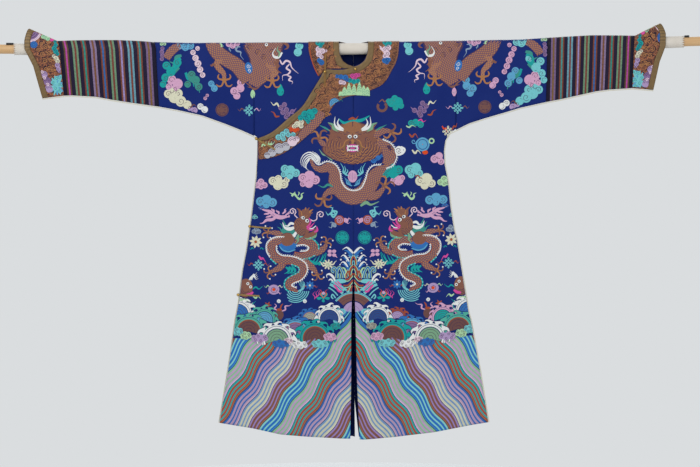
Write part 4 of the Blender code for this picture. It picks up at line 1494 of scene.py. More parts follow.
def spines(chart, rows, colour, hand, step=2.2, size=1.5, layer=3):
    """A back fin: small leaning teeth at even steps along a line, on one side of it."""
    line = rounded(rows, 6)
    gone = np.concatenate([[0.0], np.cumsum(np.linalg.norm(np.diff(line[:, :2], axis=0), axis=1))])
    places = np.arange(0.0, gone[-1], step)
    px, py = np.interp(places, gone, line[:, 0]), np.interp(places, gone, line[:, 1])
    ax, ay = np.gradient(px), np.gradient(py)
    long = np.maximum(np.hypot(ax, ay), 1e-6)
    ax, ay = ax / long, ay / long
    chart.ribbon(
        np.column_stack([line[:, 0], line[:, 1], np.full(len(line), size * 0.55)]), colour, layer,
        1, 2
    )
    for x, y, tx, ty in zip(px, py, ax, ay):
        nx, ny = -ty * hand, tx * hand
        chart.ribbon([(x - tx * size * 0.3, y - ty * size * 0.3, size * 0.75),
                      (
                          x + nx * size * 0.6 + tx * size * 0.1,
                          y + ny * size * 0.6 + ty * size * 0.1, size * 0.5
                      ),
                      (
                          x + nx * size * 1.15 + tx * size * 0.6,
                          y + ny * size * 1.15 + ty * size * 0.6, 0.1
                      )], colour, layer, 1)


def edged(rows, out):
    """The line at one side of a ribbon: its rows moved sideways by a share of its width."""
    rows = np.asarray(rows, float)
    run = np.gradient(rows[:, :2], axis=0)
    run /= np.maximum(np.linalg.norm(run, axis=1, keepdims=True), 1e-6)
    moved = rows[:, :2] + np.stack([-run[:, 1], run[:, 0]], 1) * rows[:, 2:] * out
    return np.column_stack([moved, rows[:, 2]])


def body(chart, rows, fin=None, belly=None, layer=2, colour="gold", spine="white", edge=None):
    """A dragon's body: scales along a tapering band, with its fin and its belly line."""
    chart.ribbon([(x, y, w * 1.1) for x, y, w in rows], "shadow", layer - 1, 5, 3)
    chart.ribbon(rows, colour, layer, 6, 5, scales=True)
    if edge:
        for out in (-0.42, 0.42):
            line = edged(rows, out)
            chart.ribbon([(x, y, 0.55) for x, y, _ in line], edge, layer + 1, 5, 2)
    for line in belly or ():
        chart.ribbon([(x, y, 1.5) for x, y in line], "teal", layer + 1, 5, 2)
        beads = rounded([(x, y, 1.0) for x, y in line], 4)[::2]
        for x, y, _ in beads:
            chart.disc(x, y, 0.75, "aqua", layer + 2, size=3)
    for line, hand in fin or ():
        spines(chart, [(x, y, 1.0) for x, y in line], spine, hand, layer=layer + 3)


def front_dragon(chart):
    """The chest's dragon, facing out: body round a pearl, broad face, mane, horns and claws."""
    body(chart, [(310.5, 159, 2.4), (314.5, 167, 4), (321, 169.5, 6.5), (329, 167.5, 9.5), (334.5, 172.5, 10.5), (335.5, 182, 13),
                 (341, 191, 14.5), (352, 197.3, 14.5), (364, 192.5, 15.5), (371.5, 182, 15),
                 (377, 173, 11.5), (384, 168.5, 7),
                 (391, 165, 4)])
    body(
        chart,
        [(368, 147, 12), (377, 144.5, 13), (386, 149.5, 13), (389.5, 157, 12.5), (386, 165, 8)],
        None, None, 3
    )
    spines(chart, [(312.5, 159, 1), (318.5, 165, 1), (327, 161.8, 1), (335, 164.5, 1), (339.8, 172, 1), (341.6, 182, 1), (347, 189, 1),
                   (355, 190.8, 1), (361.5, 188, 1), (365.5, 180, 1), (368, 171.5, 1),
                   (373, 166, 1), (381, 165, 1)], "white", -1, layer=6)
    spines(chart, [(383, 140, 1), (390.5, 143.5, 1), (395.5, 150.5, 1), (396.4, 158, 1), (392.6, 165.4, 1), (386, 168.4, 1)],
           "white", -1, layer=6)
    claw(
        chart, [(336, 149, 9), (328, 147, 7), (321, 142, 4.4)], 319.5, 138.5, 7.0, "gold", None, 4,
        -95.0
    )
    claw(
        chart, [(371, 139, 9), (379, 132.5, 7.5), (387, 131, 4.6)], 391.5, 132.5, 7.2, "gold", None,
        4, 35.0
    )
    claw(
        chart, [(340, 190, 9), (331, 191, 7), (325.5, 194.5, 4.4)], 323.6, 199, 7.2, "gold", None,
        4, 95.0
    )
    claw(
        chart, [(368, 196, 9), (376, 195.5, 7.5), (382, 190, 4.6)], 384.4, 186, 7.2, "gold", None,
        4, -55.0
    )
    for k in range(5):
        chart.lick([(318.6 - 1.6 * k, 164 - 1.2 * k), (316.6 - 1.6 * k, 158 + 0.4 * k), (310.4 - 0.4 * k, 152.6 + 2.0 * k),
                    (303.8 + 0.6 * k, 155 + 2.6 * k), (300.6 + 1.6 * k, 161.6 + 1.9 * k),
                    (302.4 + 2.2 * k, 166.6 + 1.4 * k)], 1.25, "white", 2)
    for k in range(3):
        chart.lick(
            [
                (319 - k, 164 - k), (320 - 1.4 * k, 159 - 0.6 * k), (317 - 1.6 * k, 154.4),
                (312 - 1.5 * k, 151.4 + 0.6 * k)
            ],
            1.1, "white", 2
        )
    face(chart, 352.6, 144.0)
    chart.disc(352.6, 176.6, 4.7, "pink", 2, 6.0, size=6)
    for k in range(-2, 3):
        chart.ribbon(
            [(352.6 + k * 1.6, 172.5 + abs(k), 0.35), (352.6 + k * 1.6, 180.6 - abs(k), 0.35)],
            "mauve", 4, 2, 2
        )
    for hand in (-1, 1):
        for k, (dx, top) in enumerate(((4.6, 169.4), (7.0, 166.0), (11.0, 163.0))):
            chart.lick([(353 + hand * (4.0 + 1.4 * k), 176 - 0.6 * k), (353 + hand * (7.4 + 1.2 * k), 174.5 - k),
                        (353 + hand * (5.2 + 2.2 * k), 171.5 - 1.6 * k),
                        (353 + hand * (dx + 1.6), top)], 1.5, "aqua", 2)
        for k in range(3):
            chart.lick([(353 + hand * (0.8 + 0.8 * k), 186 - 0.4 * k), (353 + hand * (3 + 1.4 * k), 185 - 0.6 * k),
                        (353 + hand * (3.2 + 1.8 * k), 182.4 - k),
                        (353 + hand * (6 + 1.3 * k), 179.6 - 1.2 * k)], 1.3, "sky", 2)
    chart.chain(
        [(373.6, 160.4, 2.7), (377.4, 157.0, 3.3), (381.2, 154.6, 2.6), (375.0, 156.2, 2.2)],
        "blue", "navy"
    )
    chart.disc(399, 151, 4.4, "white", 3, 4.8)
    chart.lick([(401, 146.6), (404.6, 149.6), (403, 153.6), (400, 155.4)], 2.0, "white", 3)
    chart.coil(398.6, 150.6, 3.2, "shadow", 5, 1.4, 40.0, 0.6)
    chart.lick([(360.5, 206), (366, 202.6), (371, 204.8), (379, 201.6)], 3.4, "sage", 3)
    chart.lick([(333.6, 187), (328, 184.8), (323.6, 187.4), (318, 185.2)], 2.4, "sea", 3)
    chart.lick([(332, 160.4), (327, 155.4), (323, 154.6), (319.4, 149.6)], 2.6, "sage", 1)


def smooth_rows(points, count):
    """Rows at even steps of a smooth curve through points, each the distance down and the half width."""
    line = rounded([(a, b, 1.0) for a, b in points], 6)
    down = np.linspace(line[0, 0], line[-1, 0], count)
    return down, np.interp(down, line[:, 0], line[:, 1])


FACE_EDGE = ((-22.0, 2.0), (-20.0, 9.0), (-15.0, 20.5), (-9.0, 22.5), (-3.0, 24.5), (2.0, 28.5), (6.0, 29.5), (10.0, 27.0),
             (14.0, 21.0), (17.0, 13.5), (19.0, 7.0), (20.0, 1.0))


def face(chart, x, y):
    """A dragon's face from the front: mane, brow, eyes, nose, and a square mouth with teeth."""
    for hand in (-1, 1):
        for k in range(4):
            chart.lick([(x + hand * (16 + k), y - 9 + 2 * k), (x + hand * (20 + k), y - 13 + 3.0 * k), (x + hand * (20.5 + k), y - 16 + 4.0 * k),
                        (
                            x + hand * (24 + 1.0 * k), y - 20 + 5.4 * k
                        )], 2.6, "bright" if k % 2 else "gold", 4)
        chart.lick(
            [
                (x + hand * 8, y - 14), (x + hand * 13, y - 17), (x + hand * 15, y - 21),
                (x + hand * 13.4, y - 25)
            ],
            2.4, "white", 6
        )
        chart.lick(
            [
                (x + hand * 9, y - 13), (x + hand * 15, y - 15.4), (x + hand * 18, y - 20),
                (x + hand * 17.4, y - 27)
            ],
            2.4, "white", 6
        )
        chart.lick(
            [
                (x + hand * 14, y - 12), (x + hand * 18, y - 15), (x + hand * 20, y - 19),
                (x + hand * 24.5, y - 21)
            ],
            4.4, "sage", 5
        )
        chart.lick(
            [
                (x + hand * 23, y - 13), (x + hand * 27, y - 15.5), (x + hand * 30, y - 17),
                (x + hand * 34, y - 19)
            ],
            2.0, "sea", 4
        )
    chart.ribbon([(x - 14, y - 25, 0.8), (x - 8, y - 20.5, 3.0), (x, y - 22.5, 3.0), (x + 9, y - 23.5, 3.2), (x + 17, y - 28, 0.8)],
                 "teal", 5, 4, 3)
    chart.lick(
        [(x - 4, y - 24), (x, y - 25.5), (x + 3, y - 24.5), (x + 5.6, y - 27.6)], 2.4, "rust", 6
    )
    down, half = smooth_rows(FACE_EDGE, 30)
    share = np.linspace(-1.0, 1.0, 13)
    for grow, colour, layer in ((1.05, "shadow", 4), (1.0, "gold", 5)):
        chart.grid(x + half[:, None] * share * grow, y + down[:, None] * grow + 0.0 * share, colour, layer,
                   0.6 * (1.0 - share ** 2) + 0.0 * down[:, None])
    chart.disc(x, y - 13.2, 11.0, "shadow", 5, 9.6, size=7)
    chart.disc(x, y - 13.6, 10.2, "tan", 6, 8.8, size=7)
    chart.ribbon([(x, y - 22, 0.6), (x, y - 8, 0.6)], "shadow", 8, 2, 2)
    for ring in range(6):
        size = 0.46 + 0.1 * ring
        for k in range(15):
            turn = math.radians(-8 + 14.0 * k + 7.0 * (ring % 2))
            cx, cy = x + 28.5 * size * math.cos(turn), y + 1.5 + 17.5 * size * math.sin(turn)
            if abs(cx - x) > np.interp(cy - y, down, half) - 1.0 or (
                abs(cx - x) < 8.0 and cy < y + 11.0
            ):
                continue
            tx, ty = -28.5 * math.sin(turn), 17.5 * math.cos(turn)
            long = math.hypot(tx, ty)
            tx, ty, bend = 2.6 * tx / long, 2.6 * ty / long, 0.7 if k % 2 else -0.7
            for dx, dy, colour in ((0.0, 0.0, "shadow"), (0.5, 0.9, "bright")):
                chart.lick([(cx - tx + dx, cy - ty + dy), (cx - 0.4 * tx + dx, cy - 0.4 * ty + dy - bend),
                            (cx + 0.4 * tx + dx, cy + 0.4 * ty + dy + bend),
                            (cx + tx + dx, cy + ty + dy)], 0.85, colour, 7)
    for hand in (-1, 1):
        for k in range(5):
            chart.lick([(x + hand * (2.5 + 0.6 * k), y - 10.5 + 0.4 * k), (x + hand * (6 + k), y - 11.6 + 0.3 * k),
                        (x + hand * (8 + 1.8 * k), y - 9.4 - 0.4 * k),
                        (x + hand * (11.5 + 2.2 * k), y - 12.4 - 0.3 * k)],
                       1.0, "shadow" if k % 2 == 0 else "bright", 8)
        chart.coil(x + hand * 14.5, y - 4.5, 2.7, "shadow", 8, 1.4, 0.0, 0.6, hand)
        chart.coil(x + hand * 15.1, y - 4.0, 2.4, "bright", 9, 1.2, 0.0, 0.45, hand)
        chart.lick([(x + hand * 3.6, y - 4.4), (x + hand * 7.4, y - 2.2), (x + hand * 9.4, y + 2.6), (x + hand * 14, y + 4.4),
                    (x + hand * 17.6, y + 1.6)], 1.2, "bright", 9)
        chart.disc(x + hand * 2.9, y - 7.2, 2.5, "shadow", 7, 2.3)
        chart.disc(x + hand * 2.9, y - 7.2, 2.05, "white", 8, 1.8)
        chart.disc(x + hand * 2.7, y - 7.0, 0.9, "black", 9, size=4)
        chart.coil(x + hand * 2.4, y - 1.0, 1.5, "shadow", 8, 1.2, 0.0, 0.6, hand)
        chart.lick(
            [
                (x + hand * 6.8, y + 0.6), (x + hand * 8.8, y + 3.4), (x + hand * 7.6, y + 6.4),
                (x + hand * 9.6, y + 9)
            ],
            0.8, "olive", 8
        )
    chart.disc(x, y - 2.0, 1.9, "bright", 7, 2.6)
    chart.disc(x, y + 4.4, 7.0, "shadow", 7, 4.3)
    for rx, ry, colour in (
        (6.4, 3.9, "magenta"), (4.9, 2.8, "silver"), (3.8, 1.4, "black"), (2.8, 0.75, "magenta")
    ):
        chart.disc(x, y + 4.4, rx, colour, 8 + int(2.0 * (6.4 - rx) / 1.5), ry)
    for k in (-3.4, -1.2, 1.2, 3.4):
        chart.disc(x + k, y + 2.4, 0.95, "white", 11, 0.85, size=3)
        chart.disc(x + k, y + 6.5, 0.95, "white", 11, 0.85, size=3)
    for hand in (-1, 1):
        chart.lick(
            [(x + hand * 5.4, y + 1.2), (x + hand * 4.7, y + 3.2), (x + hand * 5.6, y + 4.4)], 1.2,
            "white", 11
        )
        chart.lick(
            [(x + hand * 5.4, y + 7.6), (x + hand * 4.7, y + 5.6), (x + hand * 5.6, y + 4.4)], 1.2,
            "white", 11
        )
    for k in range(9):
        angle = math.radians(20 + 17.5 * k)
        chart.lick([(x + 8.4 * math.cos(angle), y + 5 + 5.6 * math.sin(angle)), (x + 9.6 * math.cos(angle), y + 5.4 + 7.2 * math.sin(angle)),
                    (
                        x + 11.4 * math.cos(angle + 0.06), y + 5.6 + 8.6 * math.sin(angle + 0.06)
                    )], 1.3, "bright", 8)


def profile_dragon(chart):
    """A lower dragon in profile: head turned to the middle, and a body in two loops below it."""
    for k in range(6):
        chart.lick([(298 - 0.6 * k, 291.4), (303.6 - 1.6 * k + 0.2 * k, 288.6 + 0.6 * k), (304.4 - 0.5 * k, 285.6 + 1.4 * k - 3.0),
                    (300.6 - 0.3 * k, 282.6 + 0.4 * k - 1.4)], 1.0, "aqua", 1)
        r = 3.6 + 1.9 * k
        chart.sector(295.6, 288.6, r, r + 0.9, 20 - 2 * k, 190 - 14 * k, "aqua", 1)
    body(chart, [(291, 243.4, 5.6), (300, 240.6, 7.2), (309, 242, 7.8), (314.4, 247.4, 7.8), (310.5, 253.6, 7.8), (302, 256, 7),
                 (294, 254, 5)],
         [([(297, 245.4), (304, 244.6), (309, 247.4), (306.6, 250.8), (300, 251.2)], 1)],
         [
             [
                 (293, 239.8), (301, 236.8), (310.5, 237.8), (318.2, 244.6), (317.4, 252.6),
                 (309.6, 258), (299, 259.2)
             ]
         ],
         3, "cocoa", edge="rust")
    body(chart, [(284, 240, 7), (275.4, 241.6, 8), (271, 248, 8), (273.6, 255.5, 8), (281, 260, 8), (291, 260.4, 8),
                 (300, 263, 8), (303.2, 270, 8), (298.4, 276.6, 7.6), (290.4, 280.6, 6.6),
                 (288.6, 286, 5.4), (293, 289, 4), (298, 291.4, 1.8)],
         [([(284, 236.4), (274, 237.4), (267, 243), (266.6, 251), (270, 257.4)], -1),
          ([(276.4, 246), (277, 251.4), (282, 255.4), (290, 256.2), (299, 258.6), (306, 264), (307, 272), (301.6, 279.4), (293.6, 283),
            (291.8, 285.6), (297, 288)], -1)],
         [
             [(271, 259), (276, 263.6)],
             [
                 (292, 264.6), (298.6, 267.4), (298.6, 272), (292, 275.4), (285.6, 280),
                 (284.8, 287), (288.6, 291.4)
             ]
         ],
         4, "cocoa", edge="rust")
    claw(
        chart, [(285, 238, 6), (278, 233.6, 5.4), (272.6, 232.6, 4)], 268.2, 232.4, 4.8, "gold",
        "white", 4, 190.0
    )
    claw(
        chart, [(312, 254, 6), (320, 251, 6.4), (325, 247, 4.4)], 326.4, 242.6, 4.8, "gold",
        "white", 4, -75.0
    )
    claw(
        chart, [(284, 261, 7), (280.6, 267, 6.4), (275, 270, 4.4)], 270.4, 272, 4.8, "gold",
        "white", 4, 150.0
    )
    claw(
        chart, [(303, 260, 7), (310.6, 266, 6.6), (315, 270.6, 4.4)], 317.6, 274.6, 4.8, "gold",
        "white", 4, 80.0
    )
    for k in range(4):
        chart.lick([(309 + 3.2 * k, 260 + 1.6 * k), (312 + 3.2 * k, 262.4 + 0.4 * k), (314 + 3.4 * k, 260.6), (316.4 + 3.4 * k, 257 - 1.4 * k)],
                   2.2, "teal", 2)
    chart.lick([(309, 259.6), (315, 263.4), (320, 262), (326, 252.6)], 2.6, "teal", 2)
    for k in range(3):
        chart.lick(
            [
                (286 + 3 * k, 267 - 0.4 * k), (289 + 3 * k, 269.6), (288 + 3.4 * k, 272),
                (284.6 + 3 * k, 273.6)
            ],
            2.6, "teal", 3
        )
    for k in range(3):
        chart.lick([(292 - 2 * k, 228 + 2.6 * k), (287 - 2 * k, 226.6 + 3 * k), (284.4 - 2 * k, 222.6 + 3 * k), (282.6 - 2.6 * k, 219 + 4 * k)],
                   1.8, "sea", 2)
    chart.disc(288.6, 230.6, 6.6, "sea", 2, 4.0, 10)
    chart.lick([(295.6, 227), (290, 229), (285, 227.6), (282.8, 222.4)], 3.6, "white", 5)
    chart.lick([(295.6, 224.6), (291, 223.4), (288, 226), (285, 225.4)], 2.6, "white", 5)
    chart.lick([(296.6, 232), (293.6, 236), (290.6, 235.6), (287.4, 238.4)], 3.6, "white", 5)
    chart.disc(288, 243.8, 9.4, "blue", 4, 6.8, 8, size=7)
    chart.ribbon(
        [(279.6, 246, 1.0), (283, 250, 1.4), (289, 251.6, 1.4), (295.6, 249.6, 1.0)], "sky", 6, 4, 2
    )
    chart.disc(287.6, 239.8, 7.6, "shadow", 5, 7.2, size=6)
    chart.disc(287.6, 239.6, 7.0, "gold", 6, 6.6, size=7)
    side_face(chart)


def side_face(chart):
    """A dragon's head from the side: crest, brow, eyes, open jaws, whiskers and beard."""
    for k, (dx, dy) in enumerate(
        (
            (-7.6, -10.8), (-5.0, -8.6), (-2.0, -9.4), (1.4, -11.6), (5.0, -11.4), (8.6, -9.6),
            (8.4, -6.6)
        )
    ):
        chart.lick([(304, 219), (304 + 0.4 * dx, 219 + 0.35 * dy), (304.6 + 0.62 * dx, 219 + 0.75 * dy), (304.6 + dx, 219 + dy)],
                   4.2, "bright" if k % 2 else "gold", 4)
    chart.disc(306, 213.6, 5.2, "gold", 4, 4.4, 20, size=6)
    chart.disc(302.2, 226.4, 8.6, "shadow", 5, 9.6, -25, size=7)
    chart.disc(302.2, 226.4, 8.0, "gold", 6, 9.0, -25, size=9)
    chart.ribbon(
        [(303, 236, 3.4), (308, 235.6, 4.6), (313.4, 233.6, 4.4), (317, 229.4, 3.0)], "gold", 6, 4
    )
    chart.ribbon([(305.4, 220.6, 5.2), (308.2, 222.8, 3.6), (308.4, 225.6, 1.6)], "gold", 7, 4)
    for k in range(5):
        chart.sector(
            304.6, 226.6, 3.4 + 1.35 * k, 4.0 + 1.35 * k, 75 + 4 * k, 250 - 6 * k, "shadow", 8
        )
        chart.sector(
            304.6, 226.6, 4.1 + 1.35 * k, 4.5 + 1.35 * k, 80 + 6 * k, 245 - 8 * k, "bright", 8
        )
    for x, y, r in ((303.2, 217.8, 2.2), (307.2, 220.8, 2.4)):
        chart.disc(x, y, r, "shadow", 8, r * 0.9, 30, size=4)
        chart.disc(x, y, r * 0.82, "white", 9, r * 0.72, 30, size=4)
        chart.disc(x + 0.3, y + 0.1, r * 0.4, "black", 10, size=3)
    chart.ribbon(
        [(309.0, 218.0, 0.8), (310.8, 221.4, 1.6), (309.6, 224.6, 1.6), (306.6, 227.2, 1.2)],
        "magenta", 8, 4
    )
    chart.lick([(307.2, 227.6), (310.2, 227.2), (312.6, 224.8), (314.8, 222.4)], 1.9, "magenta", 9)
    chart.ribbon([(306.8, 228.2, 1.1), (310.6, 230.2, 1.4), (314.2, 229.2, 1.0)], "magenta", 8, 4)
    chart.ribbon([(314.4, 232.0, 1.2), (317.4, 230.6, 2.0), (316.8, 226.6, 1.0)], "magenta", 9, 4)
    chart.ribbon([(309.6, 228.8, 0.9), (312.8, 228.4, 1.1), (316.0, 225.8, 0.8)], "white", 10, 3, 2)
    for k in range(4):
        chart.lick([(305 + 2.6 * k, 237.4 - 0.7 * k), (307 + 2.4 * k, 239.4 - 0.8 * k), (310 + 2.0 * k, 238.4 - 0.9 * k), (312.6 + 1.4 * k, 236 - 1.0 * k)],
                   2.6, "sage", 4)
    chart.lick([(299, 234), (297.6, 238), (298.4, 240.6), (295.6, 244)], 2.8, "sage", 7)
    chart.coil(292.6, 211.6, 3.9, "pale", 5, 1.5, 60.0, 1.0, -1)
    chart.ribbon(
        [(302, 217, 1.1), (299, 218.6, 1.0), (296.6, 217, 1.0), (294.6, 215, 1.0)], "pale", 5, 3, 2
    )
    chart.coil(320.8, 214.8, 4.1, "pale", 5, 1.4, 160.0, 1.0)
    chart.ribbon(
        [(310.4, 219.6, 1.1), (313.6, 221, 1.0), (316.8, 219.2, 1.0), (317, 215.6, 1.0)], "pale", 5,
        3, 2
    )


def around_side(chart):
    """Emblems, clouds and flames around a lower dragon, on one half of the front."""
    chart.lick(
        [(287, 216.4), (281, 217.4), (275, 215.6), (270, 211.6), (264, 210), (259, 207.6)], 4.4,
        "pink", 2
    )
    chart.lick([(277, 217), (272, 219.6), (267, 220), (263, 223), (260, 223.4)], 3.2, "pink", 2)
    for k, (a, b, c, d) in enumerate(((270, 213, 264, 214.4), (272, 215, 266, 217.6), (274, 213, 272, 208.4), (279, 214.4, 276.6, 210),
                                      (282.6, 214, 286.4, 208.6), (285.6, 215, 290.4, 211.6),
                                      (287, 217, 290, 215.6))):
        chart.lick(
            [
                (a, b), ((a + c) / 2 + 0.9, (b + d) / 2), ((a + 3 * c) / 4 - 0.6, (b + 3 * d) / 4),
                (c, d)
            ],
            2.0, "pink", 3
        )
    chart.coil(273, 214.8, 1.9, "mauve", 5, 1.2, 0.0, 0.4)
    chart.cloud(255, 217, 2.6, "aqua")
    chart.cloud(256.5, 231, 4.2, "grey")
    flower(chart, 255.8, 241.8, 6.4, "cream", "rust", 8, 10.0)
    streamers(chart, 257, 249, 3.6, "teal", "teal")
    chart.lick([(259, 256), (261.5, 259), (263, 258), (266, 262.5)], 2.2, "magenta", 2)
    knot(chart, 258.6, 265, 5.4, "aqua", "rust", "rust")
    half_head(chart)
    chart.disc(274, 289.5, 5.6, "lilac", 2, 5.0)
    chart.coil(274, 289.5, 3.8, "plum", 4, 1.6)
    chart.disc(274, 289.5, 1.6, "orange", 5)
    streamers(chart, 274, 287, 4.6, "mint", "cream")
    streamers(chart, 274, 293.5, 3.6, "rust", "pink")
    flower(chart, 310, 285.3, 4.8, "blue", "cream", 8)
    streamers(chart, 310, 287, 3.8, "rust", "rust")
    for dx, dy in ((-2.2, -1.8), (2.2, -1.8), (-2.4, 1.8), (2.2, 2.0)):
        chart.disc(332 + dx, 253 + dy, 2.1, "pink", 2 + (dx > 0), 1.7)
    chart.lick([(333, 254), (335.6, 256), (337.4, 257.6)], 1.6, "pink", 4)
    chart.coil(332, 253, 1.4, "mauve", 5, 1.2)
    for k in range(9):
        angle = 0.7 * k
        c, s = math.cos(angle), math.sin(angle)
        chart.ribbon([(328, 264.4, 1.4), (328 + 2.6 * c, 264.4 + 2.2 * s, 1.9), (328 + 4.8 * c, 264.4 + 4.2 * s, 0.9)],
                     "cream", 2 + k % 2, 3)
        chart.disc(328 + 4.8 * c, 264.4 + 4.2 * s, 0.9, "cream", 4, size=3)
    chart.coil(328, 264.4, 2.4, "sage", 5, 1.5)
    chart.lick([(331, 265), (333.6, 264), (335, 262), (337, 260.4)], 1.3, "cream", 3)
    chart.lick([(325, 266), (322.4, 264.6), (321, 262.4), (319.4, 261.4)], 1.3, "cream", 3)
    pearl(chart, 339.5, 220.3, 4.9, "rust", "lilac")
    fire(chart, 336, 215, 12.0, "aqua", 212.0, 4, 1.7)
    fire(chart, 344, 221, 7.5, "pink", -10.0, 3, 1.5)
    fire(chart, 336, 224, 8.0, "grey", 160.0, 3, 1.5)
    for k in range(3):
        chart.lick(
            [
                (314.6 + k, 299 - k), (315 + 2 * k, 296.5 - k), (313 + 3 * k, 294 - k),
                (315.5 + 3 * k, 291 - k)
            ],
            0.9, "magenta", 1
        )
    for dx, dy, angle in (
        (317.5, 297, 150), (329, 297, 30), (321, 293.5, 230), (327, 294, -50), (323, 301, 90)
    ):
        c, s = math.cos(math.radians(angle)), math.sin(math.radians(angle))
        chart.ribbon(
            [
                (323.5, 297.5, 0.6), ((323.5 + dx + 4 * c) / 2, (297.5 + dy + 4 * s) / 2, 3.0),
                (dx + c, dy + s, 0.3)
            ],
            "teal", 2, 3
        )
    for hand in (-1, 1):
        chart.lick(
            [
                (323.5, 298), (323.5 + hand * 3, 294), (323.5 + hand * 2, 291),
                (323.5 + hand * 5, 289)
            ],
            0.9, "orange", 4
        )
    chart.disc(323.5, 293, 1.6, "pink", 5)
    chart.cloud(262, 207.5, 3.0, "blue")
    for x, y in ((279, 301), (305, 301)):
        chart.disc(x, y, 1.9, "white", 3, size=4)
        chart.coil(x, y, 1.1, "grey", 5, 1.0, 0.0, 0.3)


def half_head(chart):
    """The dragon that comes round from the back: half its face shows at the side seam."""
    chart.disc(245.5, 288, 7.4, "gold", 3, 9.4, 10, size=7)
    for k in range(4):
        chart.sector(246, 289, 3.2 + 1.7 * k, 3.7 + 1.7 * k, 30, 190, "plum", 5)
    for x, y in ((248, 283.6), (250.8, 286.8)):
        chart.disc(x, y, 1.5, "white", 6, size=4)
        chart.disc(x, y, 0.7, "black", 7, size=3)
    chart.ribbon([(246, 295, 1.8), (250, 294.4, 3.0), (253.4, 292, 1.6)], "magenta", 6, 3)
    for k in range(4):
        chart.lick(
            [
                (249 + k, 280), (251 + k, 277 - k), (254 + 0.6 * k, 276 + k),
                (257 + 0.5 * k, 272.5 + 2 * k)
            ],
            1.1, "white", 5
        )
        chart.lick(
            [(243 - k, 281 + k), (241 - k, 279 + k), (240 - k, 276 + k), (238 - k, 274.5 + 2 * k)],
            1.4, "gold", 4
        )
    chart.lick([(253, 296), (256, 298), (258, 296), (261, 299)], 1.8, "mint", 3)
    chart.lick([(238, 297), (241, 300), (245, 299), (249, 302)], 1.8, "mint", 3)
    chart.lick([(253, 289), (256, 287), (259, 289), (263, 286)], 1.6, "teal", 3)


def chest_side(chart, left):
    """Clouds of the chest; a few differ in colour and place between the two halves."""
    if left:
        chart.chain(
            [
                (285, 169, 3.6), (290.5, 170.5, 4.4), (296, 173, 3.6), (290, 175.8, 3.2),
                (284, 174.5, 2.6)
            ],
            "aqua"
        )
        chart.chain(
            [
                (273, 181, 3.8), (278, 185.4, 4.2), (284, 184, 4.0), (278.5, 179, 3.4),
                (287, 180, 2.6)
            ],
            "cream"
        )
        chart.chain(
            [
                (303, 178, 4.0), (309.5, 176.5, 5.0), (315.5, 180, 4.0), (309, 183.5, 4.0),
                (303, 184, 2.6)
            ],
            "pink"
        )
        chart.cloud(261, 184.5, 6.0, "pink")
    else:
        chart.chain(
            [
                (388, 170, 4.0), (393.5, 173.6, 4.6), (398.5, 170, 4.0), (392, 167.5, 3.4),
                (386, 175, 3.0)
            ],
            "teal"
        )
        chart.chain([(393.5, 181, 3.0), (398.5, 180.5, 4.4), (402, 178, 2.6)], "pink")
        chart.chain(
            [(409.5, 170, 4.4), (415.5, 168.5, 5.0), (419, 173.5, 3.6), (411, 175, 3.0)], "aqua"
        )
        chart.chain(
            [(420, 181, 4.4), (426.5, 179, 5.2), (431.6, 183.4, 3.6), (424.5, 185.5, 3.6)], "cream"
        )
        chart.lick([(415, 176.5), (418, 175.5), (420, 178), (423, 177)], 1.6, "rust", 3)
        chart.cloud(444, 181.5, 6.0, "mint")
        chart.chain([(434.5, 159, 3.6), (439, 156, 3.4), (441, 161.5, 3.0)], "pink")
    bat(chart, 297 if left else 409, 196.5, "mint")
    chart.chain([(260.5, 201.5, 4.0), (266.5, 200, 4.6), (272.6, 202.5, 4.0), (266.5, 205, 3.0)] if left else
                [(429.5, 200, 4.0), (436, 198, 4.6), (443, 199.4, 4.0), (436, 202.4, 3.0)], "sky")


def bat(chart, x, y, colour):
    """A bat, the sign of good luck, drawn as two slim curls that meet."""
    for hand in (-1, 1):
        chart.ribbon([(x, y + 0.6, 1.6), (x + hand * 2.6, y + 2.6 * hand, 2.2), (x + hand * 5.0, y + 0.4 * hand, 1.8),
                      (x + hand * 4.6, y - 2.2, 1.2), (x + hand * 7.0, y - 3.6, 0.5)], colour, 2, 4)
        chart.lick(
            [(x + hand * 1.0, y - 0.6), (x + hand * 2.4, y - 3.4), (x + hand * 1.2, y - 4.6)], 1.1,
            colour, 3
        )


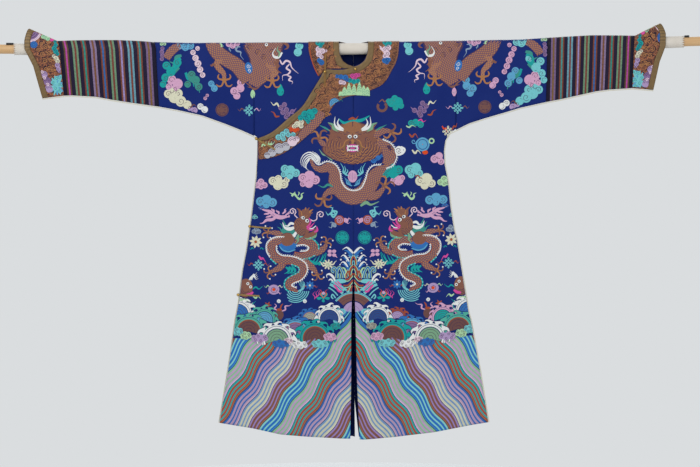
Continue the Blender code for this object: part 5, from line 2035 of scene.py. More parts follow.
def chest_right(chart):
    """Emblems beside the collar on the half that isn't under the flap."""
    chart.disc(422.5, 144.5, 7.0, "sky", 2, size=6)
    chart.sector(422.5, 144.5, 4.6, 5.3, 0, 360, "deep", 4)
    flower(chart, 422.5, 144.5, 3.6, "deep", "orange", 6)
    chart.coil(413.6, 141.6, 2.8, "sky", 3, 1.2, 0.0, 0.9)
    chart.lick([(409, 134), (412, 137), (415, 134), (418, 138.5)], 2.0, "rust", 2)
    chart.sector(431.5, 141, 1.6, 3.0, 0, 360, "mint", 3)
    chart.disc(425, 152.4, 2.9, "orange", 2, 2.2)
    chart.lick([(412, 150), (415, 153.4), (417.5, 150.5), (421, 154)], 2.0, "cream", 2)
    chart.lick([(442, 126), (444, 129), (446, 128), (447, 133)], 1.7, "orange", 2)
    knot(chart, 448, 131.5, 5.6, "cream", None, "mint")
    chart.lick([(452, 130), (454, 126), (455.6, 127), (457, 123)], 1.7, "rust", 2)
    chart.chain([(411, 123.4, 2.8), (415.6, 122.6, 3.2), (420.4, 124.6, 3.0)], "teal")
    chart.lick([(406, 126), (409, 127.5), (412, 125.6), (416, 127.4)], 1.6, "mint", 3)
    chart.lick([(418, 121), (421, 119.6), (423, 122), (426, 120.4)], 1.6, "magenta", 3)
    chart.chain([(391.6, 103, 4.0), (398, 102.4, 4.4), (394.6, 98.8, 3.0), (400.8, 106, 2.8), (395.4, 108, 2.6), (388.4, 101.4, 2.2)],
                "teal", "sea")
    chart.sector(382, 107, 3.0, 5.6, -50, 215, "cocoa", 2)
    chart.lick(
        [(379, 102.6), (382.4, 100), (384.4, 102.4), (386.6, 100), (389, 98.6)], 1.2, "gold", 2
    )


def shoulder_dragon(chart):
    """The dragon that lies over a shoulder: a thick body that comes down in front of the fold."""
    body(
        chart,
        [
            (210.5, 38, 12), (213.5, 46, 13), (219, 54, 14), (228, 60.5, 14), (237, 66, 14),
            (243.6, 74, 14), (248, 82, 13)
        ],
        layer=3
    )
    body(
        chart,
        [
            (264, 36, 40), (264, 45, 38), (264.6, 54, 32), (264, 62, 27), (261.6, 70, 23),
            (257.6, 78, 18), (253.6, 86, 10)
        ],
        layer=3
    )
    for k in range(9):
        chart.lick([(246 + 0.6 * k, 83 + 0.3 * k), (249.6 + 0.5 * k, 86 + 0.5 * k), (250 + 1.0 * k, 88 + 0.1 * k),
                    (247 + 1.6 * k, 86.6 + 0.6 * math.sin(k))], 1.0, "gold", 4)
    claw(
        chart, [(222, 60, 7), (216.6, 64, 5), (219.6, 69, 6), (224, 74, 4.4)], 224.6, 80.4, 6.4,
        "bright", None, 4, 90.0, 230.0
    )
    chart.lick([(217, 66), (213.6, 65), (212, 66.4), (210.6, 65)], 2.6, "gold", 4)
    claw(
        chart, [(264, 64, 10), (271, 68, 8), (276, 72.6, 6), (272.6, 77, 4.4)], 272.6, 81.4, 6.4,
        "bright", None, 4, 90.0, 230.0
    )
    chart.lick([(274, 62), (278, 66), (276.6, 70), (281.6, 73.6)], 3.4, "gold", 4)
    chart.lick([(275, 57), (278, 61), (277.6, 65), (280.6, 67)], 2.6, "gold", 4)
    chart.lick([(283, 43), (287.6, 45.6), (287.6, 48.6), (284.6, 50)], 3.0, "gold", 4)
    for k in range(5):
        cx, cy = ((250, 47), (258, 52), (266, 47.5), (272.6, 52.6), (263.6, 57.5))[k]
        chart.coil(cx, cy, 3.0, "shadow", 6, 1.5, 60.0 * k, 0.6)
        chart.coil(cx + 0.8, cy + 0.6, 2.5, "bright", 7, 1.3, 60.0 * k, 0.45)
    chart.disc(266.6, 45.4, 1.6, "white", 8, size=4)
    chart.disc(266.6, 45.2, 0.7, "black", 9, size=3)
    chart.disc(249, 68.4, 3.7, "blue", 5, 5.8, -12, size=6)
    chart.coil(248.8, 66.6, 2.3, "white", 7, 1.3, 0.0, 0.5)
    chart.coil(249.4, 71, 1.9, "white", 7, 1.2, 90.0, 0.5, -1)
    chart.lick([(229.6, 47.4), (229.8, 50), (231, 51), (230.4, 52.6)], 1.2, "grey", 3)
    chart.lick([(236, 47.6), (237, 51.4), (241, 52.6), (241, 56), (244, 60.4)], 1.7, "grey", 3)
    chart.lick([(240.6, 47.6), (238, 47.4), (236.6, 50), (234.6, 49.4)], 1.3, "grey", 3)
    chart.chain([(229, 44.6, 2.6), (233, 46.0, 2.8), (237.4, 44.2, 2.4)], "pink")
    chart.lick([(220, 44), (222, 45.4), (221.6, 47.4), (224, 46.4)], 1.6, "mint", 3)
    chart.lick([(282.4, 53), (279, 57.6), (274.6, 57.4), (273, 53.6), (276, 48.6)], 2.6, "white", 8)
    chart.lick([(278.6, 57.6), (279.8, 53.4), (277.4, 50.6), (278.6, 46.4)], 1.9, "sage", 9)
    chart.chain([(299.4, 46.6, 3.6), (298, 52.8, 3.6)], "aqua", "sea")
    chart.lick(
        [
            (280, 60.4), (282.6, 64.6), (286, 61.4), (290, 62.6), (291.6, 67.4), (294.4, 70.6),
            (298.6, 74)
        ],
        1.9, "pale", 3
    )
    chart.lick(
        [(289.6, 64.6), (286.6, 68.6), (290.4, 71.6), (287.6, 75), (283, 76), (282.8, 81)], 1.8,
        "pale", 3
    )
    chart.lick([(287.6, 76), (291, 77.6), (289, 80.6), (292.6, 82), (292.2, 84.4)], 1.7, "pale", 3)
    chart.ribbon(
        [
            (280.6, 84.4, 0.8), (280.8, 87, 3.4), (280.6, 90.6, 7.0), (280.6, 94, 6.0),
            (280.6, 96, 2.6)
        ],
        "teal", 3, 4, 4
    )
    chart.coil(280.6, 91.6, 2.4, "navy", 5, 1.4, 0.0, 0.5)
    lilac = (
        (281, 108), (284.6, 105), (286.6, 110), (283, 112.6), (288, 114.6), (292.6, 112),
        (286.6, 117)
    )
    chart.chain([(a, b, 2.3) for a, b in lilac], "mauve")
    chart.lick([(289, 115), (291.6, 111.4), (294.4, 110.6), (296.6, 108.4)], 2.4, "mauve", 3)
    chart.lick([(279, 107), (277, 103.6), (274, 105.4), (271, 102.2)], 1.9, "cream", 3)
    chart.lick([(279.6, 116.4), (276, 116.6), (274, 113), (271, 111.6)], 1.9, "rust", 3)


def sleeve_side(chart, left):
    """The upper sleeve: clouds, a green dragon's tail by the stripes, flames and emblems."""
    chart.chain([(163, 49, 1.8), (162.4, 52.5, 2.0), (163, 56, 2.0), (162.4, 59.5, 1.8)], "mauve")
    chart.chain([(162, 44.4, 1.6), (165, 44.6, 1.4)], "mint")
    body(chart, [(167, 59, 7), (170, 54, 8), (175, 49, 8), (181, 46, 6)], layer=2)
    chart.chain([(180.5, 46.4, 3.0), (186, 47.4, 3.6), (191, 46.4, 3.2)], "sky" if left else "aqua")
    for k in range(5):
        chart.lick([(182 - 0.6 * k, 56 + 3 * k), (177 - k, 58 + 4 * k), (176 - 1.4 * k, 64 + 4 * k), (170 - 1.8 * k, 62 + 5 * k)],
                   4.2, "teal" if k % 2 else "sea", 1 + k % 2)
    chart.chain(
        [(167, 66, 3.6), (171.5, 72, 4.2), (166, 78, 3.8), (163.5, 84.5, 3.0), (178, 63, 3.6)],
        "teal" if left else "aqua"
    )
    chart.chain([(172, 80, 4.2), (178, 84, 4.6), (175, 89, 3.4), (169.5, 87, 3.0)], "pink")
    for k in range(4):
        chart.lick([(186 + 2 * k, 73 + 1.4 * k), (189 + 2 * k, 79 + k), (193 + 1.6 * k, 79 + 2 * k), (194 + 2 * k, 87 + 2 * k)],
                   4.0, "sea" if k % 2 else "teal", 1 + k % 2)
    chart.chain(
        [(192, 75, 3.4), (196, 80.4, 3.8), (199, 87, 3.4), (188, 84.6, 3.0)],
        "sea" if left else "sky"
    )
    chart.chain([(193.5, 53, 2.4), (196, 58.5, 2.8), (198.4, 64, 3.0), (200.5, 70, 2.8), (203, 75.4, 2.4), (198, 49, 2.0)],
                "pale" if left else "pink")
    chart.chain([(168.5, 94, 3.8), (174.5, 97.6, 5.0), (181, 101.4, 4.8), (187.4, 104.8, 3.8), (178.5, 93.6, 4.0), (172, 91, 3.0)],
                "cream" if left else "aqua")
    chart.chain([(190, 108, 2.6), (194.6, 110.4, 2.8)], "lilac")
    chart.chain([(200.6, 106.6, 2.8), (204.8, 109.6, 3.0)], "white")
    chart.lick([(188, 104), (191, 107), (194, 104.5), (197.5, 108)], 1.8, "brown", 3)
    chart.chain([(211.6, 84, 2.8), (214.6, 88.6, 3.0)], "sky" if left else "pink", "deep")
    roundel(chart, 222.3, 110, 6.5, "cocoa", "shadow")
    chart.chain(
        [(241.2, 83, 3.4), (240.6, 88.6, 3.6), (234.6, 91.4, 3.6), (237, 96, 3.2)],
        "pink" if left else "sky"
    )
    chart.ribbon(
        [(253, 90, 0.8), (253, 92, 3.6), (253, 95.4, 4.6), (253, 98.6, 1.6)],
        "mint" if left else "pink", 3, 4, 4
    )
    chart.coil(253, 94.4, 1.6, "sea", 5, 1.2, 0.0, 0.4)
    knot(chart, 249.5, 110.5, 5.6, "aqua", "gold", "pink")
    chart.chain([(205.5, 98.5, 1.6), (207.5, 95.6, 1.4)], "pink")
    shoulder_dragon(chart)


def sea(chart, left):
    """Rolling waves above the standing water: domes, foam and cloud banks."""
    for k, (x, y, r, inner, rim, crest) in enumerate((
        (238, 314.6, 14, "blue", "white", "white"),
        (
            309.9, 318.7, 9, "stone" if left else "lilac", "blue" if left else "rust",
            "blue" if left else "rust"
        ),
        (
            264.5, 320, 11.5, "sky" if left else "teal", "jade" if left else "pink",
            "jade" if left else "pink"
        ),
        (329.3, 318.7, 12, "deep", "white", "white"), (295.6, 333, 14, "mauve", "sky", "blue"),
        (248.9, 331, 15, "brown", "jade", "jade"), (315, 338, 15.5, "brown", "teal", "teal"),
        (277.2, 340, 15.3, "sage", "white", "white"),
    )):
        wave(chart, x, y, r, inner, rim, crest, base=3 * k)
    for x, y, rx, ry, colour in (
        (238.5, 331.5, 5, 4.6, "aqua"), (246, 335.4, 6, 4.0, "mint"), (260, 338, 10, 4.4, "lilac"),
        (281, 343.4, 10, 4.2, "blue"),
        (300, 344.6, 9, 4.0, "white"), (320, 343.4, 10, 4.2, "aqua"), (330, 336.6, 7, 4.2, "pink"),
        (335.6, 326, 5.4, 3.4, "teal" if left else "stone"), (288.6, 340.6, 4.6, 3.0, "pale"),
    ):
        puff(chart, x, y, rx, ry, colour, base=26)
    for k in range(5):
        c, s = math.cos(1.3 * k), math.sin(1.3 * k)
        chart.ribbon(
            [
                (268, 305, 1.6), (268 + 1.6 * c, 305 + 1.6 * s, 1.7),
                (268 + 3.8 * c, 305 + 3.8 * s, 0.3)
            ],
            "rust", 3, 3
        )
    chart.lick([(277.4, 310), (274.6, 308.4), (276.6, 305.6), (274.6, 303.6)], 1.6, "pink", 2)
    chart.lick(
        [(282, 311), (285.6, 309.4), (285.4, 306), (289.4, 305.6), (292, 303.8)], 1.6, "pink", 2
    )
    chart.lick([(280.6, 308.6), (281.4, 305.6), (283.2, 303.4)], 1.8, "rust", 3)
    chart.ribbon(
        [(279.5, 309, 3.0), (279.5, 312, 7.6), (279.5, 316, 8.4), (279.5, 319.4, 4.0)], "brown", 2,
        3
    )
    chart.disc(279.5, 309.4, 2.8, "rust", 4, 1.2)
    chart.lick([(252, 312), (254.5, 308), (252.4, 304.6), (256, 301)], 1.6, "teal", 2)
    chart.lick([(244, 306), (247, 303), (250, 305), (253, 302.6)], 1.6, "white", 2)


def mountain(chart):
    """The peak at the head of the slit, half by half: foam, chevron rocks and the great arch.

    Each stroke is its line in columns from the middle, and rows, then its width, silk and layer.
    """
    for hand in (-1, 1):
        for line, width, silk, layer in MOUNTAIN:
            chart.lick([(MIDDLE + hand * across, row) for across, row in line], width, silk, layer)
        for line, width, silk, layer in ROCKS:
            chart.ribbon(
                [(MIDDLE + hand * across, row, width) for across, row in line], silk, layer, 4, 3
            )
        for line in CURLS:
            for width, silk, layer in ((2.5, "mint", 3), (1.35, "blue", 4)):
                chart.ribbon(
                    [(MIDDLE + hand * across, row, width) for across, row in line], silk, layer, 4,
                    2
                )
        for across, row, r in (
            (8.0, 253.2, 0.8), (12.6, 259.6, 0.9), (6.8, 260.8, 0.7), (13.4, 264.6, 0.7),
            (4.4, 257.4, 0.6)
        ):
            chart.disc(MIDDLE + hand * across, row, r, "white", 6, size=3)
        x = MIDDLE + hand * 0.2
        for row, inner, outer, reach, silk, layer in ARCH:
            turn = (270.0, 270.0 + reach) if hand > 0 else (270.0 - reach, 270.0)
            chart.sector(x, row, inner, outer, *turn, silk, layer)
        chart.disc(MIDDLE + hand * 13, 281, 6.2, "aqua", 3, 2.2)
        for across, row, r in (
            (11.4, 311.4, 3.8), (14.4, 316.4, 3.4), (17.2, 320.8, 3.0), (14.6, 310.0, 2.4)
        ):
            chart.disc(MIDDLE + hand * across, row, r, "aqua", 5, r * 0.8)
            chart.coil(MIDDLE + hand * across, row, r * 0.6, "blue", 7, 1.2, 60.0, 0.36, hand)


# Licks of foam: white hooks over blue water, and the outer hooks beside the rocks
MOUNTAIN = (
    (((0.4, 257.0), (3.2, 253.6), (6.2, 251.0), (9.6, 250.2)), 3.0, "blue", 4),
    (((0.4, 253.2), (3.4, 249.9), (7.0, 247.4), (11.0, 249.6)), 2.2, "white", 5),
    (((3.0, 266.0), (5.2, 261.6), (8.0, 258.6), (10.8, 257.2)), 3.2, "blue", 4),
    (((4.4, 261.4), (6.8, 257.8), (9.8, 255.0), (12.6, 256.6)), 2.0, "white", 5),
    (((4.2, 271.4), (6.0, 267.2), (8.6, 264.8), (11.2, 264.2)), 3.0, "blue", 4),
    (((5.6, 267.0), (8.0, 263.4), (10.6, 261.8), (13.0, 263.6)), 1.9, "white", 5),
    (((1.8, 260.0), (3.2, 256.6), (5.4, 254.8)), 1.5, "sky", 5),
    (((6.6, 273.0), (8.6, 269.0), (10.6, 267.6), (11.8, 269.2)), 1.6, "mint", 5),
    (((18.4, 280.6), (20.4, 276.8), (23.8, 274.0), (26.8, 275.0), (26.2, 277.8)), 2.4, "white", 5),
    (((20.4, 281.0), (22.8, 279.2), (25.0, 280.4)), 2.0, "white", 5),
)

# Strokes of even width: the chevrons of the peak, its pale lines, and the slanting rocks
ROCKS = (
    (((0.3, 254.8), (2.7, 259.0), (3.4, 265.0)), 0.6, "mint", 5),
    (((0.3, 256.4), (1.8, 259.8), (2.4, 265.0)), 1.3, "rust", 6),
    (((0.4, 260.4), (1.0, 262.6), (1.1, 264.6)), 0.8, "aqua", 6),
    (((0.4, 264.2), (3.2, 267.4), (5.4, 272.6), (5.1, 276.4)), 0.6, "mint", 5),
    (((0.4, 265.8), (2.5, 268.6), (4.2, 273.0), (3.9, 276.2)), 1.5, "rust", 6),
    (((0.5, 268.6), (1.8, 271.2), (2.5, 275.2)), 0.8, "mint", 6),
    (((0.5, 273.2), (2.6, 276.2), (5.4, 279.0), (8.2, 279.4)), 1.5, "rust", 6),
    (((0.6, 275.6), (2.4, 278.2), (5.0, 280.8), (8.0, 281.0)), 0.8, "mint", 6),
    (((5.8, 269.4), (8.0, 273.0), (8.7, 277.8)), 0.6, "mint", 5),
    (((4.9, 270.6), (6.8, 273.8), (7.5, 277.6)), 1.4, "rust", 6),
    (((0.6, 279.8), (3.0, 282.8), (6.0, 285.3), (10.0, 285.2)), 1.5, "rust", 6),
    (((0.8, 282.2), (2.8, 284.8), (5.6, 287.2), (8.8, 287.2)), 0.8, "mint", 6),
    (((0.9, 285.0), (2.2, 288.2), (2.4, 291.2)), 1.4, "rust", 6),
    (((2.4, 285.8), (4.0, 288.8), (4.5, 291.0)), 0.8, "mint", 6),
    (((4.0, 287.0), (5.8, 289.6), (6.8, 290.8)), 1.3, "rust", 6),
    (((9.0, 290.4), (14.0, 286.0), (19.0, 282.4), (22.0, 281.2)), 2.8, "aqua", 3),
    (((10.6, 293.4), (15.4, 289.0), (20.0, 285.8), (23.6, 284.2)), 2.6, "aqua", 3),
    (((4.4, 292.0), (8.6, 288.8), (12.6, 286.0)), 2.0, "aqua", 3),
    (((12.0, 285.4), (14.6, 282.6), (16.2, 281.2)), 1.2, "magenta", 5),
    (((10.8, 289.0), (14.8, 285.4), (18.8, 281.8)), 1.1, "magenta", 5),
    (((11.4, 291.4), (14.4, 291.0), (16.8, 288.0), (19.6, 284.8)), 2.0, "magenta", 5),
    (((15.6, 295.4), (19.0, 291.6), (22.6, 288.8), (25.0, 287.4)), 1.2, "aqua", 3),
    (((17.8, 298.0), (20.8, 294.2), (22.0, 296.8), (20.2, 298.6)), 1.3, "aqua", 3),
    (((1.6, 312.6), (4.6, 318.0), (9.0, 323.6), (14.0, 328.6)), 2.8, "blue", 3),
    (((3.2, 310.6), (7.2, 316.0), (12.0, 321.6), (17.0, 326.4)), 1.1, "aqua", 4),
    (((4.8, 309.4), (9.2, 314.4), (14.0, 319.6), (18.6, 324.0)), 2.2, "blue", 3),
)

# Clouds of stone: blue lines with a pale edge, two legs and a curl
CURLS = (
    ((9.8, 278.0), (11.2, 272.0), (14.2, 267.0), (16.4, 271.6), (17.0, 278.0)),
    ((16.6, 271.0), (18.4, 267.8), (21.0, 268.2), (21.2, 271.2), (19.0, 272.0)),
    ((13.4, 278.4), (14.2, 273.4)),
    ((7.0, 278.0), (8.6, 273.0), (9.6, 270.4)),
)

# The arch: row of its centre, inner and outer radius, degrees from the top, silk and layer
ARCH = (
    (314.5, 13.4, 20.9, 47.0, "cocoa", 3), (314.5, 16.6, 16.9, 46.0, "shadow", 4),
    (314.5, 19.0, 19.2, 46.0, "shadow", 4),
    (314.5, 20.5, 21.1, 48.0, "rust", 4), (314.5, 21.1, 23.0, 52.0, "aqua", 5),
    (314.5, 22.0, 22.3, 50.0, "navy", 6),
    (312.0, 0.1, 10.8, 82.0, "lilac", 4), (312.0, 10.4, 11.4, 82.0, "navy", 5),
    (312.0, 6.0, 6.3, 78.0, "mauve", 5),
)


def scallops(chart, x, y, count, step, rise, size, colour, line):
    """Overlapping scales of water, each a half disc with rings, in a slanting row."""
    for k in range(count):
        cx, cy = x + k * step, y + k * rise
        chart.disc(cx, cy, size * 1.08, line, 2 + k % 3, size * 1.08)
        chart.disc(cx, cy, size, colour, 3 + k % 3, size)
        for ring in (0.35, 0.68):
            chart.sector(cx, cy, size * ring, size * ring + 0.4, 180, 360, line, 6 + k % 3)


def braid(chart, line, width, colour, pitch=1.7):
    """A twisted cord: slanting strokes at even steps along a line, beside a thin edge."""
    rows = rounded([(x, y, 1.0) for x, y in line], 6)
    gone = np.concatenate([[0.0], np.cumsum(np.linalg.norm(np.diff(rows[:, :2], axis=0), axis=1))])
    places = np.arange(0.0, gone[-1], pitch)
    px, py = np.interp(places, gone, rows[:, 0]), np.interp(places, gone, rows[:, 1])
    tx, ty = np.gradient(px), np.gradient(py)
    long = np.maximum(np.hypot(tx, ty), 1e-6)
    tx, ty = tx / long, ty / long
    for x, y, ax, ay in zip(px, py, tx, ty):
        chart.ribbon([(x + ay * width * 0.5 - ax * width * 0.35, y - ax * width * 0.5 - ay * width * 0.35, 0.5),
                      (
                          x - ay * width * 0.5 + ax * width * 0.35,
                          y + ax * width * 0.5 + ay * width * 0.35, 0.5
                      )], colour, 2, 1, 2)


def gold_coils(chart, rows):
    """The gold tangle of a small dragon and its scrolls: coils drawn light over dark."""
    for k, (x, y, r) in enumerate(rows):
        hand = 1 if k % 2 else -1
        chart.coil(x, y, r, "black", 2, 1.6, 75.0 * k, 1.1, hand)
        chart.coil(x + 0.5, y + 0.4, r * 0.92, "bright", 3, 1.5, 75.0 * k, 0.75, hand)
        chart.lick([(x + r, y - 0.4 * r), (x + 1.4 * r, y - r * hand * 0.6), (x + 1.7 * r, y - 0.2 * r), (x + 2.1 * r, y - r * hand * 0.7)],
                   0.9, "bright", 3)


def collar_front(chart):
    """Clouds, a small peak and waves along the collar band, between coils of gold."""
    rim = [(398.6, 42), (397.6, 52), (395.4, 62), (390, 72), (382, 81.4), (372, 89.2), (362, 94), (352, 95.6), (342, 98), (334, 102.6),
           (328.6, 111), (321, 121.6), (313, 130), (304, 138.4), (293, 147), (281, 154),
           (269, 157.4), (259.6, 158.2)]
    chart.ribbon([(x, y, 1.1) for x, y in rim], "brown", 2, 4, 2)
    braid(chart, rim, 1.0, "bright", 1.3)
    braid(
        chart, [(396.2, 42), (395, 52), (392.6, 61.6), (387.4, 70.6), (380, 78.8), (371, 86)], 3.8,
        "black"
    )
    gold_coils(chart, [(376, 62, 3.2), (383, 71, 3.0), (375, 72, 3.0), (368, 78, 3.0), (379, 52, 2.6), (367, 71, 2.4), (376, 80, 2.6),
                       (333, 84, 3.0), (328, 92, 3.2), (321, 97, 3.0), (331, 76, 2.4),
                       (319, 106, 2.8), (325, 105, 2.8), (313, 104, 2.4),
                       (322, 86, 2.6), (317, 91, 2.6), (326, 114, 2.6), (320, 119, 2.6),
                       (308, 112, 1.8)])
    chart.chain([(385, 43.4, 2.2), (389, 43.8, 2.4), (387, 46.4, 1.8)], "teal", "navy")
    for k in range(6):
        chart.lick([(386, 53), (384 + 1.2 * k - 3, 49 + 1.6 * k), (386 + 1.6 * k - 5, 48 + 2 * k), (383 + 2.2 * k - 4, 46.4 + 2.4 * k)],
                   2.4, "pale", 3)
    chart.chain([(385, 50, 2.6), (388.4, 48.4, 2.4), (387, 54, 2.6), (384.6, 56.6, 1.8)], "pale")
    chart.chain([(384.6, 61, 2.4), (388, 60, 2.4), (386.6, 62.6, 2.0)], "blue", "navy")
    chart.chain(
        [(337, 76.8, 1.7), (341, 77.4, 2.2), (345.4, 78.2, 2.6), (347.4, 80.4, 1.6)], "blue", "navy"
    )
    chart.chain(
        [(352.4, 76.4, 2.0), (356, 76, 2.0), (354.4, 78.6, 2.0), (358.6, 75.6, 1.6)], "magenta"
    )
    chart.chain([(350, 81, 2.0), (354, 82, 2.4), (358, 81.6, 2.0)], "teal", "navy")
    chart.chain([(341, 82.6, 2.0), (344, 83.4, 1.8)], "pale")
    peaks = (
        (341, 92), (344.6, 87.4), (349, 83.6), (354, 84.6), (359.4, 82.4), (363.6, 86),
        (367.4, 87.4)
    )
    for k, (x, y) in enumerate(peaks):
        chart.ribbon(
            [
                (x, y, 0.8), (x, (y + 94) / 2, 4.2),
                (x + 0.3 * (354 - x) / 10, 95.4 + abs(x - 354) * 0.06, 5.6)
            ],
            "mint", 3 + k % 2, 3
        )
        for j in range(3):
            chart.ribbon(
                [
                    (x - 1.6, y + 5 + 2.4 * j, 0.35), (x, y + 3.2 + 2.4 * j, 0.35),
                    (x + 1.6, y + 5 + 2.4 * j, 0.35)
                ],
                "sea", 6, 2, 2
            )
    chart.sector(334.6, 103.8, 0.2, 5.4, 140, 330, "sky", 3)
    for ring in (1.6, 3.2, 4.8):
        chart.sector(334.6, 103.8, ring, ring + 0.5, 145, 325, "deep", 4)
    chart.chain([(314.6, 111.6, 2.8), (310, 113, 3.2), (305, 114.6, 3.2), (301, 118, 2.6), (307.4, 118.6, 3.0), (312, 116.8, 2.8),
                 (308.6, 122, 2.0)], "teal", "navy")
    chart.chain(
        [(301.4, 122.6, 2.4), (297.4, 124.4, 2.6), (294.4, 126.6, 2.0), (301.4, 126.4, 2.0)],
        "cream"
    )
    chart.chain([(291.6, 129.6, 1.9), (295, 130.6, 2.0), (298, 130, 1.5)], "orange", "rust")
    chart.chain([(286.6, 131.6, 2.4), (283, 134.6, 2.6), (278.6, 137.4, 2.6), (283.6, 139, 2.2), (288.6, 135, 2.2), (293.6, 134.6, 2.0)],
                "aqua")
    body(
        chart, [(322, 112, 7), (317.6, 121, 8), (311, 127.6, 8), (304.6, 133, 8), (300, 138.6, 6)],
        layer=3
    )
    for x, y, r, colour in ((267.6, 155.4, 3.2, "silver"), (272.4, 152.6, 4.2, "silver"), (279.4, 148.6, 5.2, "silver"),
                            (286, 146.6, 4.4, "silver"), (292.6, 141.6, 5.0, "pale"),
                            (296.6, 139.6, 3.2, "pale")):
        chart.disc(x, y, r * 1.1, "black", 3)
        chart.disc(x, y, r, colour, 4)
        for ring in (0.35, 0.66):
            chart.sector(x, y, r * ring, r * ring + 0.5, 190, 350, "shadow", 6)
    for k in range(4):
        chart.lick(
            [
                (262 + 2.6 * k, 147 - 0.8 * k), (263 + 2.8 * k, 144.6),
                (265.6 + 2.7 * k, 145 - 0.6 * k), (266.4 + 2.9 * k, 141.4)
            ],
            1.6, "mint", 3
        )
    chart.chain([(273, 143, 1.8), (276, 145.6, 1.6)], "brown")


def collar_corner(chart):
    """The far side of the collar, that runs under the flap."""
    chart.ribbon(
        [(309.2, 42, 1.1), (310, 50, 1.1), (311.8, 60, 1.1), (315.4, 70, 1.1), (318.6, 76, 1.1)],
        "rust", 2, 4, 2
    )
    braid(chart, [(311.6, 42), (312.4, 50), (314.4, 60), (317.6, 69)], 3.8, "black")
    gold_coils(chart, [(330, 50, 2.6), (331.6, 58, 2.6), (328.6, 65, 2.4), (329, 43.6, 2.2)])
    chart.chain([(318, 43.8, 2.2), (322, 43.4, 2.4), (320.6, 46.6, 1.8)], "teal", "navy")
    chart.chain(
        [
            (318.6, 50, 2.6), (322.6, 51.6, 2.4), (319, 54.6, 2.6), (321.6, 57.6, 1.8),
            (326, 51.4, 1.2)
        ],
        "pale"
    )
    chart.chain([(319.6, 61, 2.2), (321.6, 63, 2.4)], "blue", "navy")


def cuff_chart():
    """One cuff: medallion, clouds and a burst of spray round coils of gold."""
    chart = Chart()
    gold_coils(chart, [(46, 47, 3.0), (43, 54, 3.0), (49, 53, 2.6), (45, 61, 3.0), (51, 60, 2.6), (50, 67.6, 2.8), (46, 69, 2.4),
                       (39, 50, 2.4), (53, 70, 2.0), (41.6, 43.6, 2.0), (48, 42.6, 2.0),
                       (47, 92, 1.8)])
    chart.sector(31.0, 31.6, 0.2, 8.8, -10, 115, "mauve", 2)
    for ring in (2.4, 4.6, 6.8):
        chart.sector(31.0, 31.6, ring, ring + 0.5, -10, 115, "shadow", 4)
    chart.sector(31.0, 31.6, 8.8, 11.0, -10, 115, "pale", 3)
    chart.sector(31.0, 31.6, 9.8, 10.1, -10, 115, "mauve", 4)
    chart.disc(34.6, 45.2, 3.8, "blue", 3, 3.6)
    for ring in (1.2, 2.6):
        chart.sector(34.6, 45.2, ring, ring + 0.5, 0, 360, "deep", 5)
    chart.chain([(43.6, 37, 1.9), (46, 38, 1.8), (48.4, 39.4, 1.8)], "mint", "sea")
    chart.disc(52.2, 40.2, 1.9, "magenta", 3, 1.7)
    chart.chain(
        [(55.6, 42, 1.4), (56.4, 45.6, 1.8), (55, 49, 2.2), (56.6, 52, 2.2), (58.4, 54.4, 1.6)],
        "teal", "navy"
    )
    chart.chain([(54.6, 56.6, 1.5), (57, 59, 2.2), (58.4, 61.6, 2.0)], "cream")
    chart.chain([(58.2, 65.6, 2.2), (59.2, 69.4, 2.0), (60, 72, 1.2)], "lilac")
    for k in range(14):
        angle = math.radians(-135 + 28 * k)
        chart.ribbon([(57.4, 86, 1.0), (57.4 + 4 * math.cos(angle), 86 + 5.4 * math.sin(angle), 2.2),
                      (
                          57.4 + 7.2 * math.cos(angle), 86 + 10.6 * math.sin(angle), 0.7
                      )], "aqua" if k % 2 else "sky", 2 + k % 2, 3)
    chart.chain([(57.4, 79, 2.4), (54, 82.6, 2.2), (59.8, 84.4, 2.2), (55.6, 88.6, 2.4), (60, 91, 2.0), (61.4, 77, 1.8), (62.2, 86, 1.4)],
                "aqua", "sea")
    scallops(chart, 44.6, 75, 1, 0, 0, 3.6, "lilac", "shadow")
    scallops(chart, 47.6, 81.6, 1, 0, 0, 4.0, "mauve", "shadow")
    scallops(chart, 49.4, 88.6, 1, 0, 0, 4.0, "lilac", "shadow")
    for x, y in ((45, 78.4), (48.2, 85), (42.8, 72.6)):
        chart.coil(x, y, 1.9, "pale", 9, 1.2, 200.0, 0.8)
    return chart


def on_collar(x, drop, side):
    """Keeps a shape below the shoulder fold."""
    return x, np.maximum(drop, FOLD + 0.7)


def on_cuff(x, drop, side):
    """Keeps a shape between the cuff's seam and its gold edge, and above the underside."""
    left = x.mean() > 0.0
    seams = SEAMS_LEFT if left else SEAMS_RIGHT
    sign = 1.0 if left else -1.0
    drop = np.clip(drop, FOLD + 0.7, under_drop(x) - 1.2)
    part = np.where(drop < 0.0, -drop / FOLD, drop / under_drop(x))
    near = sign * table(seams["cuff"], part) + 1.0
    far = sign * table(seams["rim"], part) - CUFF_EDGING - 1.0
    return sign * np.clip(np.abs(x), near, far), drop


def middle(chart):
    """What lies on the centre seam."""
    front_dragon(chart)
    for x, y in ((342.4, 237.5), (364.6, 237.5)):
        roundel(chart, x, y, 6.7, "teal", "navy")
    mountain(chart)


def shifted(chart, dx, dy):
    """The same chart moved sideways and down."""
    moved = Chart()
    moved.grids = [(x + dx, y + dy, *rest) for x, y, *rest in chart.grids]
    return moved


def half_chart(left, chest=True):
    """Everything on one half except the centre, drawn on the viewer's left."""
    chart = Chart()
    profile_dragon(chart)
    around_side(chart)
    if left and chest:
        chest_side(chart, True)
    sleeve_side(chart, left)
    sea(chart, left)
    return chart


def brocade(name, chart, side, mirror, looks, slot="navy_silk", **more):
    """Lays a chart as one mesh of floss on the cloth."""
    made = chart.lay(name, side, mirror, [looks["floss"], looks["scales"]], **more)
    return made


